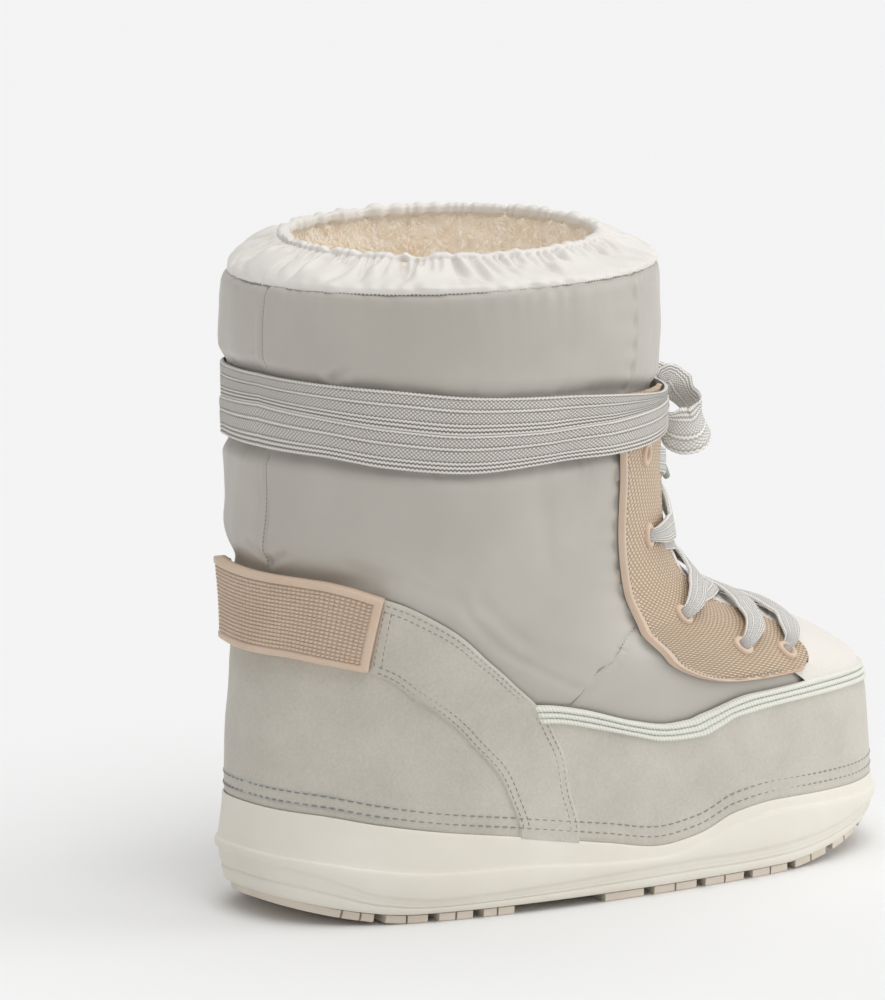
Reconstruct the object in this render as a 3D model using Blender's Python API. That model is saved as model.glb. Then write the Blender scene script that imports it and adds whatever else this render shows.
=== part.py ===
"""Apres ski boot for the right foot. Metres, +X to the toe, +Z up, lateral side at -Y."""
from collections import namedtuple
from math import atan2, copysign, cos, exp, floor, pi, sin

import bmesh
import bpy
from mathutils import Matrix, Vector

MM = 0.001

# Driving dimensions, in millimetres
SOLE_FLARE = 3.5
SEAM_HEIGHT = 236.0
COLUMNS = 40
GAP = 0.35
SKIN_GAP = 0.55
EYESTAY_GAP = 0.75
TOE_SWING = 7.0
ARCH_PINCH = 0.06
ARCH_PLACE = -25.0
ARCH_REACH = 45.0

# Level sections of the upper: each one is two half super-ellipses that meet at the widest place
Level = namedtuple("Level", "height back front half_width widest heel_power toe_power wall")
LEVELS = [
    Level(0, -139.5, 139.5, 59.0, 0.62, 2.65, 2.60, 6.5),
    Level(30, -139.5, 139.5, 59.0, 0.62, 2.65, 2.60, 6.5),
    Level(45, -139.5, 140.0, 59.5, 0.60, 2.70, 2.47, 6.5),
    Level(58, -139.2, 140.4, 60.0, 0.58, 2.65, 2.32, 6.5),
    Level(70, -138.6, 138.2, 60.7, 0.55, 2.60, 2.13, 6.5),
    Level(80, -137.6, 124.4, 61.7, 0.53, 2.50, 2.00, 6.5),
    Level(90, -136.2, 102.8, 63.3, 0.50, 2.40, 1.80, 7.0),
    Level(102, -134.8, 66.4, 65.2, 0.48, 2.20, 1.75, 8.0),
    Level(118, -133.6, 46.2, 68.0, 0.46, 2.15, 1.75, 9.0),
    Level(138, -133.8, 37.2, 72.1, 0.45, 2.10, 1.75, 10.0),
    Level(165, -134.2, 32.9, 75.8, 0.46, 2.10, 1.80, 11.0),
    Level(195, -134.6, 28.1, 78.0, 0.48, 2.10, 2.00, 12.0),
    Level(218, -136.0, 28.0, 78.0, 0.50, 2.10, 2.10, 13.0),
    Level(231, -135.5, 28.0, 77.5, 0.50, 2.10, 2.10, 13.0),
    Level(236, -134.0, 27.5, 76.0, 0.50, 2.10, 2.10, 13.0),
]

# Heights of the rings that the upper's two surfaces are made of
OUTER_HEIGHTS = (38, 57, 65, 71, 76, 81, 86, 91, 97, 104, 112, 122, 136, 152, 172, 196, 220, 236)
INNER_HEIGHTS = (236, 200, 162, 134, 114, 99, 86, 70, 40)

# Side lines of the sole at places along the boot: lip, upper ridge, lower step and footbed
SideLine = namedtuple("SideLine", "place lip ridge step floor")
SIDE_LINES = [
    SideLine(-143, 43.6, 27.4, 24.6, 26.5),
    SideLine(-130, 42.4, 25.4, 20.6, 26.0),
    SideLine(-111, 38.4, 21.5, 12.1, 24.8),
    SideLine(-89, 34.3, 18.8, 8.9, 22.6),
    SideLine(-55, 29.2, 18.2, 9.8, 18.6),
    SideLine(-20, 23.2, 15.6, 11.0, 14.2),
    SideLine(5, 19.2, 14.8, 11.6, 12.6),
    SideLine(22, 21.3, 17.8, 11.9, 12.6),
    SideLine(41, 27.6, 22.8, 11.4, 12.8),
    SideLine(60, 29.6, 25.7, 11.6, 13.2),
    SideLine(88, 28.8, 24.4, 13.6, 14.8),
    SideLine(116, 27.8, 23.0, 17.6, 18.4),
    SideLine(143, 27.6, 22.6, 19.9, 22.6),
]

# Underside of the sole
TREAD = 3.5
TREAD_INSET = 4.0
TREAD_SEAT = 2.3
HEEL_BEVEL = (-98.0, 45.0, 8.0, 1.6)
TOE_SPRING = (66.0, 72.0, 13.0, 1.5)
GROOVE_SWEEP = 0.14
Groove = namedtuple("Groove", "place width")
GROOVES = [
    Groove(-104.5, 4.5),
    Groove(-84.0, 4.5),
    Groove(-66.0, 4.5),
    Groove(-31.0, 40.0),
    Groove(9.0, 5.0),
    Groove(33.5, 4.5),
    Groove(56.5, 4.5),
    Groove(79.0, 4.5),
    Groove(101.0, 4.5),
    Groove(121.0, 4.5),
]
CHANNEL_SIDE = 17.0
CHANNEL_WIDTH = 4.0

# Edges of the panels on the upper, as heights at a turn from the centre back (0) to the front (0.5)
EdgePoint = namedtuple("EdgePoint", "turn height")
COUNTER_TOP = [
    EdgePoint(0.000, 113.0),
    EdgePoint(0.104, 112.0),
    EdgePoint(0.116, 94.0),
    EdgePoint(0.130, 87.6),
    EdgePoint(0.144, 80.8),
    EdgePoint(0.158, 72.4),
    EdgePoint(0.167, 65.6),
    EdgePoint(0.177, 52.6),
    EdgePoint(0.1812, 36.0),
]
RAND_TOP = [
    EdgePoint(0.205, 71.6),
    EdgePoint(0.222, 67.0),
    EdgePoint(0.234, 62.4),
    EdgePoint(0.241, 59.4),
    EdgePoint(0.248, 58.8),
    EdgePoint(0.260, 61.4),
    EdgePoint(0.274, 64.4),
    EdgePoint(0.312, 65.8),
    EdgePoint(0.360, 65.0),
    EdgePoint(0.430, 62.8),
    EdgePoint(0.500, 61.8),
]
PIPING_TOP = [
    EdgePoint(0.205, 78.6),
    EdgePoint(0.219, 75.4),
    EdgePoint(0.236, 68.4),
    EdgePoint(0.246, 65.4),
    EdgePoint(0.258, 67.4),
    EdgePoint(0.295, 71.8),
    EdgePoint(0.336, 71.8),
    EdgePoint(0.380, 70.8),
    EdgePoint(0.430, 69.0),
    EdgePoint(0.500, 68.0),
]
RAND_START = 0.2060
PANEL_START = 0.360
THROAT_HEIGHT = 93.0
THROAT_TURN = 0.424
TONGUE_TOP = 190.0

# A band across the upper: the two ends of each section, as height and turn
Section = namedtuple("Section", "rear_height rear_turn front_height front_turn")
WING = [
    Section(95.0, 0.1185, 123.6, 0.1275),
    Section(91.8, 0.1250, 121.4, 0.1415),
    Section(88.4, 0.1325, 118.0, 0.1560),
    Section(85.2, 0.1395, 113.4, 0.1730),
    Section(81.6, 0.1465, 107.4, 0.1880),
    Section(73.4, 0.1600, 96.0, 0.1985),
    Section(66.4, 0.1685, 84.0, 0.2022),
    Section(53.4, 0.1785, 70.0, 0.2042),
    Section(42.0, 0.1820, 52.0, 0.2050),
    Section(36.0, 0.1822, 40.0, 0.2050),
    Section(0.0, 0.1822, 0.0, 0.2050),
]
EYESTAY = [
    Section(194.0, 0.325, 191.0, 0.410),
    Section(180.0, 0.317, 178.0, 0.410),
    Section(167.0, 0.3215, 165.0, 0.410),
    Section(148.0, 0.324, 146.0, 0.410),
    Section(131.0, 0.3235, 130.0, 0.411),
    Section(118.0, 0.3195, 119.0, 0.414),
    Section(106.5, 0.3135, 108.5, 0.415),
    Section(98.5, 0.301, 102.0, 0.416),
    Section(91.5, 0.287, 98.0, 0.416),
    Section(86.6, 0.278, 95.2, 0.415),
    Section(82.1, 0.275, 92.8, 0.409),
    Section(79.2, 0.280, 90.4, 0.402),
    Section(77.5, 0.292, 87.4, 0.393),
    Section(76.1, 0.314, 84.0, 0.383),
    Section(75.6, 0.334, 80.4, 0.371),
    Section(75.4, 0.346, 77.6, 0.358),
]
PANEL_TOP = [
    EdgePoint(0.360, 77.4),
    EdgePoint(0.373, 80.4),
    EdgePoint(0.385, 84.0),
    EdgePoint(0.395, 87.4),
    EdgePoint(0.404, 90.4),
    EdgePoint(0.411, 92.5),
    EdgePoint(0.500, 92.5),
]

# Eyelets on the lateral side, and the height at which their lace bar crosses the centre front
Eyelet = namedtuple("Eyelet", "height turn crown")
EYELETS = [
    Eyelet(169.0, 0.356, None),
    Eyelet(136.4, 0.364, 139.0),
    Eyelet(102.9, 0.355, 114.0),
    Eyelet(88.2, 0.340, 103.0),
    Eyelet(82.8, 0.358, 96.6),
]
EYELET_RADIUS = 4.6
EYELET_HOLE = 2.4
EYELET_RISE = 3.5
BAR_WIDTH = 9.0
BAR_THICK = 1.8

# Lace bands round the shaft: heights of their edges at a turn
BandEdge = namedtuple("BandEdge", "turn top middle bottom")
BAND_EDGES = [
    BandEdge(0.000, 202.6, 191.6, 175.2),
    BandEdge(0.060, 202.0, 189.8, 175.0),
    BandEdge(0.120, 201.0, 187.0, 172.2),
    BandEdge(0.185, 198.4, 184.6, 170.2),
    BandEdge(0.240, 197.2, 184.5, 172.0),
    BandEdge(0.290, 196.0, 186.2, 173.4),
    BandEdge(0.340, 193.4, 187.0, 173.2),
    BandEdge(0.385, 191.0, 186.8, 173.6),
    BandEdge(0.500, 189.0, 186.0, 176.0),
]
BAND_THICK = 2.0
BAND_SEAT = 0.6
BAND_OVER_EYESTAY = 4.5

# Heel strap: its ends, edges, stand-off from the skin and recessed field
StrapColumn = namedtuple("StrapColumn", "turn bottom top stand_off")
STRAP = [
    StrapColumn(0.000, 99.4, 129.8, 2.9),
    StrapColumn(0.020, 99.6, 129.9, 2.9),
    StrapColumn(0.042, 99.8, 130.0, 2.9),
    StrapColumn(0.064, 99.2, 129.8, 2.8),
    StrapColumn(0.086, 98.2, 128.4, 2.6),
    StrapColumn(0.108, 96.9, 125.6, 2.4),
    StrapColumn(0.114, 96.6, 124.8, 2.4),
]
STRAP_THICK = 3.6
STRAP_RECESS = 0.8
STRAP_RIM = 3.0
STRAP_SLANT = 0.006

# Collar ring: distance in from the seam and height of each point of its section
CollarPoint = namedtuple("CollarPoint", "inward height")
COLLAR = [
    CollarPoint(0.4, 236.4),
    CollarPoint(1.2, 241.2),
    CollarPoint(6.5, 246.8),
    CollarPoint(14.5, 248.9),
    CollarPoint(22.0, 247.8),
    CollarPoint(26.2, 243.4),
    CollarPoint(24.6, 239.8),
    CollarPoint(18.0, 236.6),
]

# Bow at the centre front: knot, loops and hanging ends on the lateral side
KNOT_CENTRE = (42.4, 0.0, 181.0)
KNOT_SIZE = (11.0, 13.0, 13.0)
CORD_RADIUS = 2.0
LOOP_ROUTE = [
    (47.0, -3.3, 184.4),
    (49.9, -4.1, 186.2),
    (53.6, -5.6, 182.0),
    (55.4, -9.8, 177.4),
    (56.0, -16.6, 172.6),
    (51.0, -19.8, 168.2),
    (45.6, -17.9, 167.6),
    (42.6, -13.4, 169.6),
    (42.7, -6.9, 177.8),
]
END_ROUTE = [
    (42.7, -2.5, 174.3),
    (42.7, -4.4, 168.5),
    (41.2, -7.4, 163.2),
    (39.9, -10.3, 159.6),
    (39.4, -12.2, 157.4),
]
AGLET_TIP = (38.4, -18.6, 150.2)
AGLET_RADIUS = 1.7

COLOURS = {
    "shaft_nylon": ((0.47, 0.44, 0.40), 0.62),
    "collar_nylon": ((0.75, 0.72, 0.67), 0.60),
    "nubuck": ((0.53, 0.50, 0.43), 0.85),
    "mint_piping": ((0.73, 0.74, 0.67), 0.60),
    "pale_panel": ((0.74, 0.71, 0.67), 0.70),
    "beige_rubber": ((0.61, 0.43, 0.32), 0.55),
    "lace_braid": ((0.58, 0.56, 0.53), 0.80),
    "midsole_foam": ((0.80, 0.76, 0.68), 0.60),
    "tread_rubber": ((0.74, 0.65, 0.55), 0.65),
    "footbed_pile": ((0.86, 0.74, 0.56), 0.95),
    "aglet": ((0.36, 0.37, 0.31), 0.45),
}


def clear_scene():
    for item in list(bpy.data.objects):
        bpy.data.objects.remove(item, do_unlink=True)


def collection(name):
    group = bpy.data.collections.new(name)
    bpy.context.scene.collection.children.link(group)
    return group


def material(name):
    colour, roughness = COLOURS[name]
    surface = bpy.data.materials.get(name) or bpy.data.materials.new(name)
    surface.use_nodes = True
    shader = surface.node_tree.nodes["Principled BSDF"]
    shader.inputs["Base Color"].default_value = (*colour, 1.0)
    shader.inputs["Roughness"].default_value = roughness
    shader.inputs["Metallic"].default_value = 0.0
    return surface


# Smooth reading of the tables

def read_column(rows, key_name, column, key):
    """Monotone cubic reading of one named column of a table."""
    keys = [getattr(row, key_name) for row in rows]
    values = [getattr(row, column) for row in rows]
    last = len(keys) - 1
    if key <= keys[0]:
        return values[0]
    if key >= keys[last]:
        return values[last]
    index = max(i for i in range(last) if keys[i] <= key)

    def chord(i):
        return (values[i + 1] - values[i]) / (keys[i + 1] - keys[i])

    def slope(i):
        if i == 0:
            return chord(0)
        if i == last:
            return chord(last - 1)
        before, after = chord(i - 1), chord(i)
        return 2 * before * after / (before + after) if before * after > 0 else 0.0

    step = keys[index + 1] - keys[index]
    part = (key - keys[index]) / step
    start, end = values[index], values[index + 1]
    return (start * (2 * part**3 - 3 * part**2 + 1)
            + slope(index) * step * (part**3 - 2 * part**2 + part)
            + end * (3 * part**2 - 2 * part**3)
            + slope(index + 1) * step * (part**3 - part**2))


def smooth_step(value):
    value = min(max(value, 0.0), 1.0)
    return value * value * (3 - 2 * value)


def folded_turn(turn):
    """Turn on the lateral half that mirrors a turn on the medial half."""
    turn = turn % 1.0
    return turn if turn <= 0.5 else 1.0 - turn


def edge_height(edge, turn):
    return read_column(edge, "turn", "height", folded_turn(turn))


# The upper's own form

def outline(height, turn):
    """Point of the upper's outer surface on its level section."""
    level = {name: read_column(LEVELS, "height", name, height) for name in Level._fields[1:7]}
    angle = 2 * pi * turn
    along, across = cos(angle), sin(angle)
    middle = level["back"] + level["widest"] * (level["front"] - level["back"])
    power = level["heel_power"] if along >= 0 else level["toe_power"]
    if along >= 0:
        x = middle - (middle - level["back"]) * along ** (2 / power)
    else:
        x = middle + (level["front"] - middle) * (-along) ** (2 / power)
    y = -copysign(level["half_width"] * abs(across) ** (2 / power), across)
    foot = 1 - smooth_step((height - 50) / 70)
    if y > 0:
        y *= 1 - ARCH_PINCH * exp(-((x - ARCH_PLACE) / ARCH_REACH) ** 2) * foot
    y += foot * TOE_SWING * (max(x, 0) / 139) ** 2
    return Vector((x, y, height))


def normal(height, turn):
    around = outline(height, turn + 0.002) - outline(height, turn - 0.002)
    upward = outline(height + 1, turn) - outline(height - 1, turn)
    return around.cross(upward).normalized()


def skin(height, turn, out=0.0):
    return outline(height, turn) + normal(height, turn) * out


def facet_skin(height, turn, out):
    """Point off the upper's flat facets, for what lies on it."""
    floor_level = 20.0
    heights = (floor_level, *OUTER_HEIGHTS)
    height = min(height, heights[-1])
    row = max(index for index in range(len(heights) - 1) if heights[index] <= height)
    up_part = (height - heights[row]) / (heights[row + 1] - heights[row])
    column = turn * COLUMNS
    first = floor(column + 1e-6)
    part = max(column - first, 0.0)
    levels = []
    for level in heights[row:row + 2]:
        ends = [outline(level, (first + step) / COLUMNS) for step in (0, 1)]
        levels.append(ends[0] + (ends[1] - ends[0]) * part)
    return levels[0] + (levels[1] - levels[0]) * up_part + normal(height, turn) * out


def sole_point(turn, out, height):
    """Point at a distance out from the foot's outline, at any height."""
    point = skin(20.0, turn, out)
    return Vector((point.x, point.y, height))


def base_height(x):
    """Lift of the tread's running surface at the heel bevel and the toe spring."""
    start, reach, lift, power = HEEL_BEVEL
    if x < start:
        return lift * ((start - x) / reach) ** power
    start, reach, lift, power = TOE_SPRING
    if x > start:
        return lift * ((x - start) / reach) ** power
    return 0.0


def side_line(name, x):
    return read_column(SIDE_LINES, "place", name, x)


def lip_height(turn):
    """Height of the cup's lip, straight between the columns that the cup is made of."""
    column = turn * COLUMNS
    first = floor(column + 1e-6)
    part = max(column - first, 0.0)
    ends = [side_line("lip", sole_point((first + step) / COLUMNS, 0, 0).x) for step in (0, 1)]
    return ends[0] + (ends[1] - ends[0]) * part


# Building closed solids

def add_object(name, mesh, material_name, group):
    mesh.materials.append(material(material_name))
    mesh.shade_smooth()
    mesh.set_sharp_from_angle(angle=0.6)
    item = bpy.data.objects.new(name, mesh)
    group.objects.link(item)
    return item


def mesh_from(name, points, faces):
    shape = bmesh.new()
    verts = [shape.verts.new(Vector(point) * MM) for point in points]
    for face in faces:
        shape.faces.new([verts[index] for index in face])
    bmesh.ops.triangulate(shape, faces=[face for face in shape.faces if len(face.verts) > 3])
    bmesh.ops.recalc_face_normals(shape, faces=shape.faces)
    mesh = bpy.data.meshes.new(name)
    shape.to_mesh(mesh)
    shape.free()
    return mesh


def fill_across(first, count):
    """Faces that close a ring by joining its lateral points to its medial points."""
    faces = []
    for step in range(count // 2):
        left, next_left = first + step, first + step + 1
        right, next_right = first + (count - step) % count, first + count - step - 1
        corners = []
        for corner in (left, next_left, next_right, right):
            if corner not in corners:
                corners.append(corner)
        faces.append(corners)
    return faces


def ring_mesh(name, rings, hollow):
    """Rings joined one to the next: a hollow one joins the last to the first, a full one is filled."""
    count = len(rings[0])
    points = [point for ring in rings for point in ring]
    faces = []
    pairs = len(rings) if hollow else len(rings) - 1
    for lower in range(pairs):
        upper = (lower + 1) % len(rings)
        for column in range(count):
            following = (column + 1) % count
            faces.append((lower * count + column, lower * count + following,
                          upper * count + following, upper * count + column))
    if not hollow:
        faces += fill_across(0, count)
        faces += fill_across((len(rings) - 1) * count, count)
    return mesh_from(name, points, faces)


def patch_mesh(name, grid, inner, outer, closed=False):
    """A plate that follows the skin: grid rows hold (height, turn), inner and outer give its faces."""
    rows, columns = len(grid), len(grid[0])
    points = []
    for offset in (inner, outer):
        for row in range(rows):
            for column in range(columns):
                height, turn = grid[row][column]
                points.append(facet_skin(height, turn, offset(row, column)))
    layer = rows * columns
    faces = []
    spans = columns if closed else columns - 1
    for row in range(rows - 1):
        for column in range(spans):
            following = (column + 1) % columns
            square = (row * columns + column, row * columns + following,
                      (row + 1) * columns + following, (row + 1) * columns + column)
            faces.append(square)
            faces.append(tuple(layer + index for index in reversed(square)))
    for column in range(spans):
        following = (column + 1) % columns
        for row in (0, rows - 1):
            start, end = row * columns + column, row * columns + following
            faces.append((start, end, layer + end, layer + start))
    if not closed:
        for row in range(rows - 1):
            for column in (0, columns - 1):
                start, end = row * columns + column, (row + 1) * columns + column
                faces.append((start, end, layer + end, layer + start))
    return mesh_from(name, points, faces)


def mirrored_turns(turns):
    """Turns from the medial side through the centre to the lateral side."""
    return [-turn for turn in reversed(turns) if turn > 0] + list(turns)


def even_turns(start, end, count):
    return [start + (end - start) * step / (count - 1) for step in range(count)]


def ribbon_mesh(name, centres, normals, width, thick):
    """A flat band of oblong section along its centre line."""
    points, faces = [], []
    last = len(centres) - 1
    for index, (centre, up) in enumerate(zip(centres, normals)):
        along = centres[min(index + 1, last)] - centres[max(index - 1, 0)]
        side = up.cross(along).normalized() * width / 2
        rise = up * thick / 2
        points += [centre - side - rise, centre + side - rise, centre + side + rise, centre - side + rise]
    for index in range(last):
        for corner in range(4):
            following = (corner + 1) % 4
            faces.append((index * 4 + corner, index * 4 + following,
                          index * 4 + 4 + following, index * 4 + 4 + corner))
    faces += [(0, 1, 2, 3), (last * 4, last * 4 + 1, last * 4 + 2, last * 4 + 3)]
    return mesh_from(name, points, faces)


def boolean(target, cutter, operation):
    modifier = target.modifiers.new(cutter.name, "BOOLEAN")
    modifier.operation = operation
    modifier.solver = "EXACT"
    modifier.object = cutter


def add_cutter(name, mesh, group, place=Matrix.Identity(4)):
    item = bpy.data.objects.new(name, mesh)
    item.matrix_world = place
    item.hide_render = True
    item.display_type = "WIRE"
    group.objects.link(item)
    return item


# Sole

def ring_turns():
    return [column / COLUMNS for column in range(COLUMNS)]


def sole_ring(out, height_at):
    ring = []
    for turn in ring_turns():
        point = sole_point(turn, out, 0.0)
        ring.append(Vector((point.x, point.y, height_at(point.x))))
    return ring


def lip_ring(out, drop):
    """Ring round the top of the cup, where the wall follows the upper's own surface."""
    return [skin(lip_height(turn) - drop, turn, out) for turn in ring_turns()]


def make_midsole(group):
    def foot(x):
        return base_height(x) + TREAD

    def recess(x):
        return foot(x) + TREAD_SEAT

    rings = [
        sole_ring(-TREAD_INSET, recess),
        sole_ring(-TREAD_INSET, foot),
        sole_ring(0.6, foot),
        sole_ring(2.0, lambda x: foot(x) + 0.45 * (side_line("step", x) - foot(x))),
        sole_ring(2.5, lambda x: side_line("step", x) - 0.5),
        sole_ring(SOLE_FLARE, lambda x: side_line("step", x) + 0.5),
        sole_ring(SOLE_FLARE, lambda x: side_line("ridge", x) - 0.8),
        sole_ring(2.7, lambda x: side_line("ridge", x) + 0.2),
        lip_ring(2.1, 1.2),
        lip_ring(1.7, 0.0),
        lip_ring(SKIN_GAP, 0.0),
        sole_ring(SKIN_GAP, lambda x: side_line("floor", x)),
    ]
    return add_object("midsole", ring_mesh("midsole", rings, False), "midsole_foam", group)


def groove_mesh(name, width):
    """A swept V of the groove's width, reaching past both sides of the sole."""
    reach, top, bottom = 80.0, TREAD, -12.0
    back = reach * GROOVE_SWEEP
    plan = [(-back - width / 2, -reach), (-back + width / 2, -reach), (width / 2, 0),
            (-back + width / 2, reach), (-back - width / 2, reach), (-width / 2, 0)]
    count = len(plan)
    points = [(x, y, bottom) for x, y in plan] + [(x, y, top) for x, y in plan]
    faces = [(i, (i + 1) % count, count + (i + 1) % count, count + i) for i in range(count)]
    faces += [(0, 1, 2, 5), (5, 2, 3, 4), (6, 7, 8, 11), (11, 8, 9, 10)]
    return mesh_from(name, points, faces)


def make_outsole(group, cutters):
    top = TREAD + TREAD_SEAT - GAP
    rings = [
        sole_ring(-TREAD_INSET - GAP, lambda x: base_height(x) + top),
        sole_ring(-TREAD_INSET - GAP, lambda x: base_height(x) + TREAD - GAP),
        sole_ring(-0.2, lambda x: base_height(x) + TREAD - GAP),
        sole_ring(-1.0, base_height),
    ]
    outsole = add_object("outsole", ring_mesh("outsole", rings, False), "tread_rubber", group)
    for number, groove in enumerate(GROOVES):
        slope = (base_height(groove.place + 1) - base_height(groove.place - 1)) / 2
        place = (Matrix.Translation(Vector((groove.place, 0, base_height(groove.place))) * MM)
                 @ Matrix.Rotation(-atan2(slope, 1), 4, "Y"))
        name = f"groove_{number}"
        boolean(outsole, add_cutter(name, groove_mesh(name, groove.width), cutters, place), "DIFFERENCE")
    for side in (-1, 1):
        shape = bmesh.new()
        bmesh.ops.create_cube(shape, size=1.0)
        size = Vector((150.0, CHANNEL_WIDTH, 5.0)) * MM
        bmesh.ops.scale(shape, vec=size, verts=shape.verts)
        name = f"channel_{side}"
        mesh = bpy.data.meshes.new(name)
        shape.to_mesh(mesh)
        shape.free()
        place = Matrix.Translation(Vector((-10.0, side * CHANNEL_SIDE, 0.4)) * MM)
        boolean(outsole, add_cutter(name, mesh, cutters, place), "DIFFERENCE")
    return outsole


def make_insole(group):
    out = -LEVELS[0].wall - 0.6
    thickness = 4.0
    rings = [
        sole_ring(out, lambda x: side_line("floor", x) + GAP),
        sole_ring(out, lambda x: side_line("floor", x) + GAP + thickness),
    ]
    return add_object("insole", ring_mesh("insole", rings, False), "footbed_pile", group)


# Upper

def wall_at(height):
    return read_column(LEVELS, "height", "wall", height)


def foot_ring(out):
    """Lower edge of the upper, on the cup's floor."""
    ring = []
    for turn in ring_turns():
        point = sole_point(turn, out, 0)
        ring.append(Vector((point.x, point.y, side_line("floor", point.x) + GAP)))
    return ring


def make_upper(group):
    rings = [foot_ring(0.0)]
    for height in OUTER_HEIGHTS:
        rings.append([skin(height, turn) for turn in ring_turns()])
    for height in INNER_HEIGHTS:
        ring = [skin(height, turn, -wall_at(height)) for turn in ring_turns()]
        if height == SEAM_HEIGHT:
            ring = [Vector((point.x, point.y, SEAM_HEIGHT)) for point in ring]
        rings.append(ring)
    rings.append(foot_ring(-LEVELS[0].wall))
    return add_object("upper", ring_mesh("upper", rings, True), "shaft_nylon", group)


def make_collar(group):
    rings = []
    for spot in COLLAR:
        ring = []
        for turn in ring_turns():
            edge = outline(SEAM_HEIGHT, turn)
            outward = normal(SEAM_HEIGHT - 8, turn)
            outward = Vector((outward.x, outward.y, 0)).normalized()
            inside = edge - outward * spot.inward
            ring.append(Vector((inside.x, inside.y, spot.height)))
        rings.append(ring)
    return add_object("collar", ring_mesh("collar", rings, True), "collar_nylon", group)


def make_counter(group):
    turns = mirrored_turns([0, 0.025, 0.05, 0.075, 0.1, 0.1125, 0.125, 0.1375, 0.15, 0.1625, 0.175, 0.1812])
    parts = (0.0, 0.3, 0.65, 1.0)
    grid = []
    for part in parts:
        row = []
        for turn in turns:
            low = lip_height(turn) + GAP
            high = edge_height(COUNTER_TOP, turn)
            row.append((low + (high - low) * part, turn))
        grid.append(row)
    mesh = patch_mesh("heel_counter", grid, lambda r, c: SKIN_GAP, lambda r, c: 1.5)
    return add_object("heel_counter", mesh, "nubuck", group)


def section_grid(sections, parts, side, foot_gap=None):
    """Grid of a band: a row for each section, its turns mirrored for the medial side."""
    grid = []
    for section in sections:
        row = []
        for part in parts:
            turn = section.rear_turn + (section.front_turn - section.rear_turn) * part
            height = section.rear_height + (section.front_height - section.rear_height) * part
            if foot_gap is not None and section.rear_height == 0.0:
                height = lip_height(turn) + foot_gap
            row.append((height, turn * side))
        grid.append(row)
    return grid


def make_wing(group, side, label):
    grid = section_grid(WING, (0.0, 0.25, 0.5, 0.75, 1.0), side, GAP)
    mesh = patch_mesh(label, grid, lambda r, c: SKIN_GAP, lambda r, c: 2.0)
    return add_object(label, mesh, "nubuck", group)


def toe_turns():
    """Turns from the lateral wing round the toe to the medial wing."""
    lateral = [RAND_START, 0.2250, 0.2375, 0.2500, 0.2625, 0.2750, 0.3000, 0.3250, 0.3500,
               0.3750, 0.4000, 0.4250, 0.4500, 0.4750]
    return lateral + [0.5] + [1.0 - turn for turn in reversed(lateral)]


def make_rand(group):
    grid = []
    for part in (0.0, 0.45, 0.87, 1.0):
        row = []
        for turn in toe_turns():
            low = lip_height(turn) + GAP
            high = edge_height(RAND_TOP, turn) - GAP
            row.append((low + (high - low) * part, turn))
        grid.append(row)
    mesh = patch_mesh("toe_rand", grid, lambda r, c: SKIN_GAP, lambda r, c: 1.6)
    return add_object("toe_rand", mesh, "nubuck", group)


def make_piping(group):
    rise = (1.6, 2.5, 2.5, 1.6)
    parts = (0.0, 0.25, 0.75, 1.0)
    grid = []
    for part in parts:
        row = []
        for turn in toe_turns():
            low = edge_height(RAND_TOP, turn) + GAP
            high = edge_height(PIPING_TOP, turn)
            row.append((low + (high - low) * part, turn))
        grid.append(row)
    mesh = patch_mesh("piping", grid, lambda r, c: SKIN_GAP, lambda r, c: rise[r])
    return add_object("piping", mesh, "mint_piping", group)


def make_vamp_panel(group):
    lateral = [PANEL_START, 0.3750, 0.3875, 0.4000, 0.4125, 0.4250, 0.4500, 0.4750]
    turns = lateral + [0.5] + [1.0 - turn for turn in reversed(lateral)]
    grid = []
    for part in (0.0, 0.12, 0.3, 0.54, 0.78, 1.0):
        row = []
        for turn in turns:
            low = edge_height(PIPING_TOP, turn) + GAP
            high = edge_height(PANEL_TOP, turn) - GAP
            row.append((low + (high - low) * part, turn))
        grid.append(row)
    mesh = patch_mesh("vamp_panel", grid, lambda r, c: SKIN_GAP, lambda r, c: 1.4)
    return add_object("vamp_panel", mesh, "pale_panel", group)


def make_tongue(group):
    heights = (THROAT_HEIGHT, 97, 104, 112, 122, 136, 152, 172, 184, TONGUE_TOP)
    swell = (1.6, 2.8, 3.6, 3.9, 3.9, 3.9, 3.9, 3.9, 3.5, 1.6)
    turns = even_turns(THROAT_TURN, 1.0 - THROAT_TURN, 9)
    grid = [[(height, turn) for turn in turns] for height in heights]

    def outer(row, column):
        edge = 1.0 if 0 < column < len(turns) - 1 else 0.55
        return max(swell[row] * edge, 1.4)

    mesh = patch_mesh("tongue", grid, lambda r, c: SKIN_GAP, outer)
    return add_object("tongue", mesh, "pale_panel", group)


# Strap, eyestays and laces

def make_strap(group):
    columns = [column for column in STRAP]
    signs = [(-1, column) for column in reversed(columns[1:])] + [(1, column) for column in columns]
    height = STRAP[0].top - STRAP[0].bottom
    rim = STRAP_RIM / height
    parts = (0.0, rim * 0.9, rim, 0.36, 0.64, 1.0 - rim, 1.0 - rim * 0.9, 1.0)
    last = len(signs) - 1
    grid = []
    for part in parts:
        row = []
        for sign, column in signs:
            turn = sign * (column.turn + STRAP_SLANT * part * smooth_step(column.turn / STRAP[-1].turn))
            row.append((column.bottom + (column.top - column.bottom) * part, turn))
        grid.append(row)

    def inner(row, column):
        return signs[column][1].stand_off

    def outer(row, column):
        stand = signs[column][1].stand_off + STRAP_THICK + 0.5 * parts[row]
        in_field = 2 <= row <= len(parts) - 3 and 1 < column < last - 1
        return stand - STRAP_RECESS if in_field else stand

    mesh = patch_mesh("heel_strap", grid, inner, outer)
    return add_object("heel_strap", mesh, "beige_rubber", group)


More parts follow.
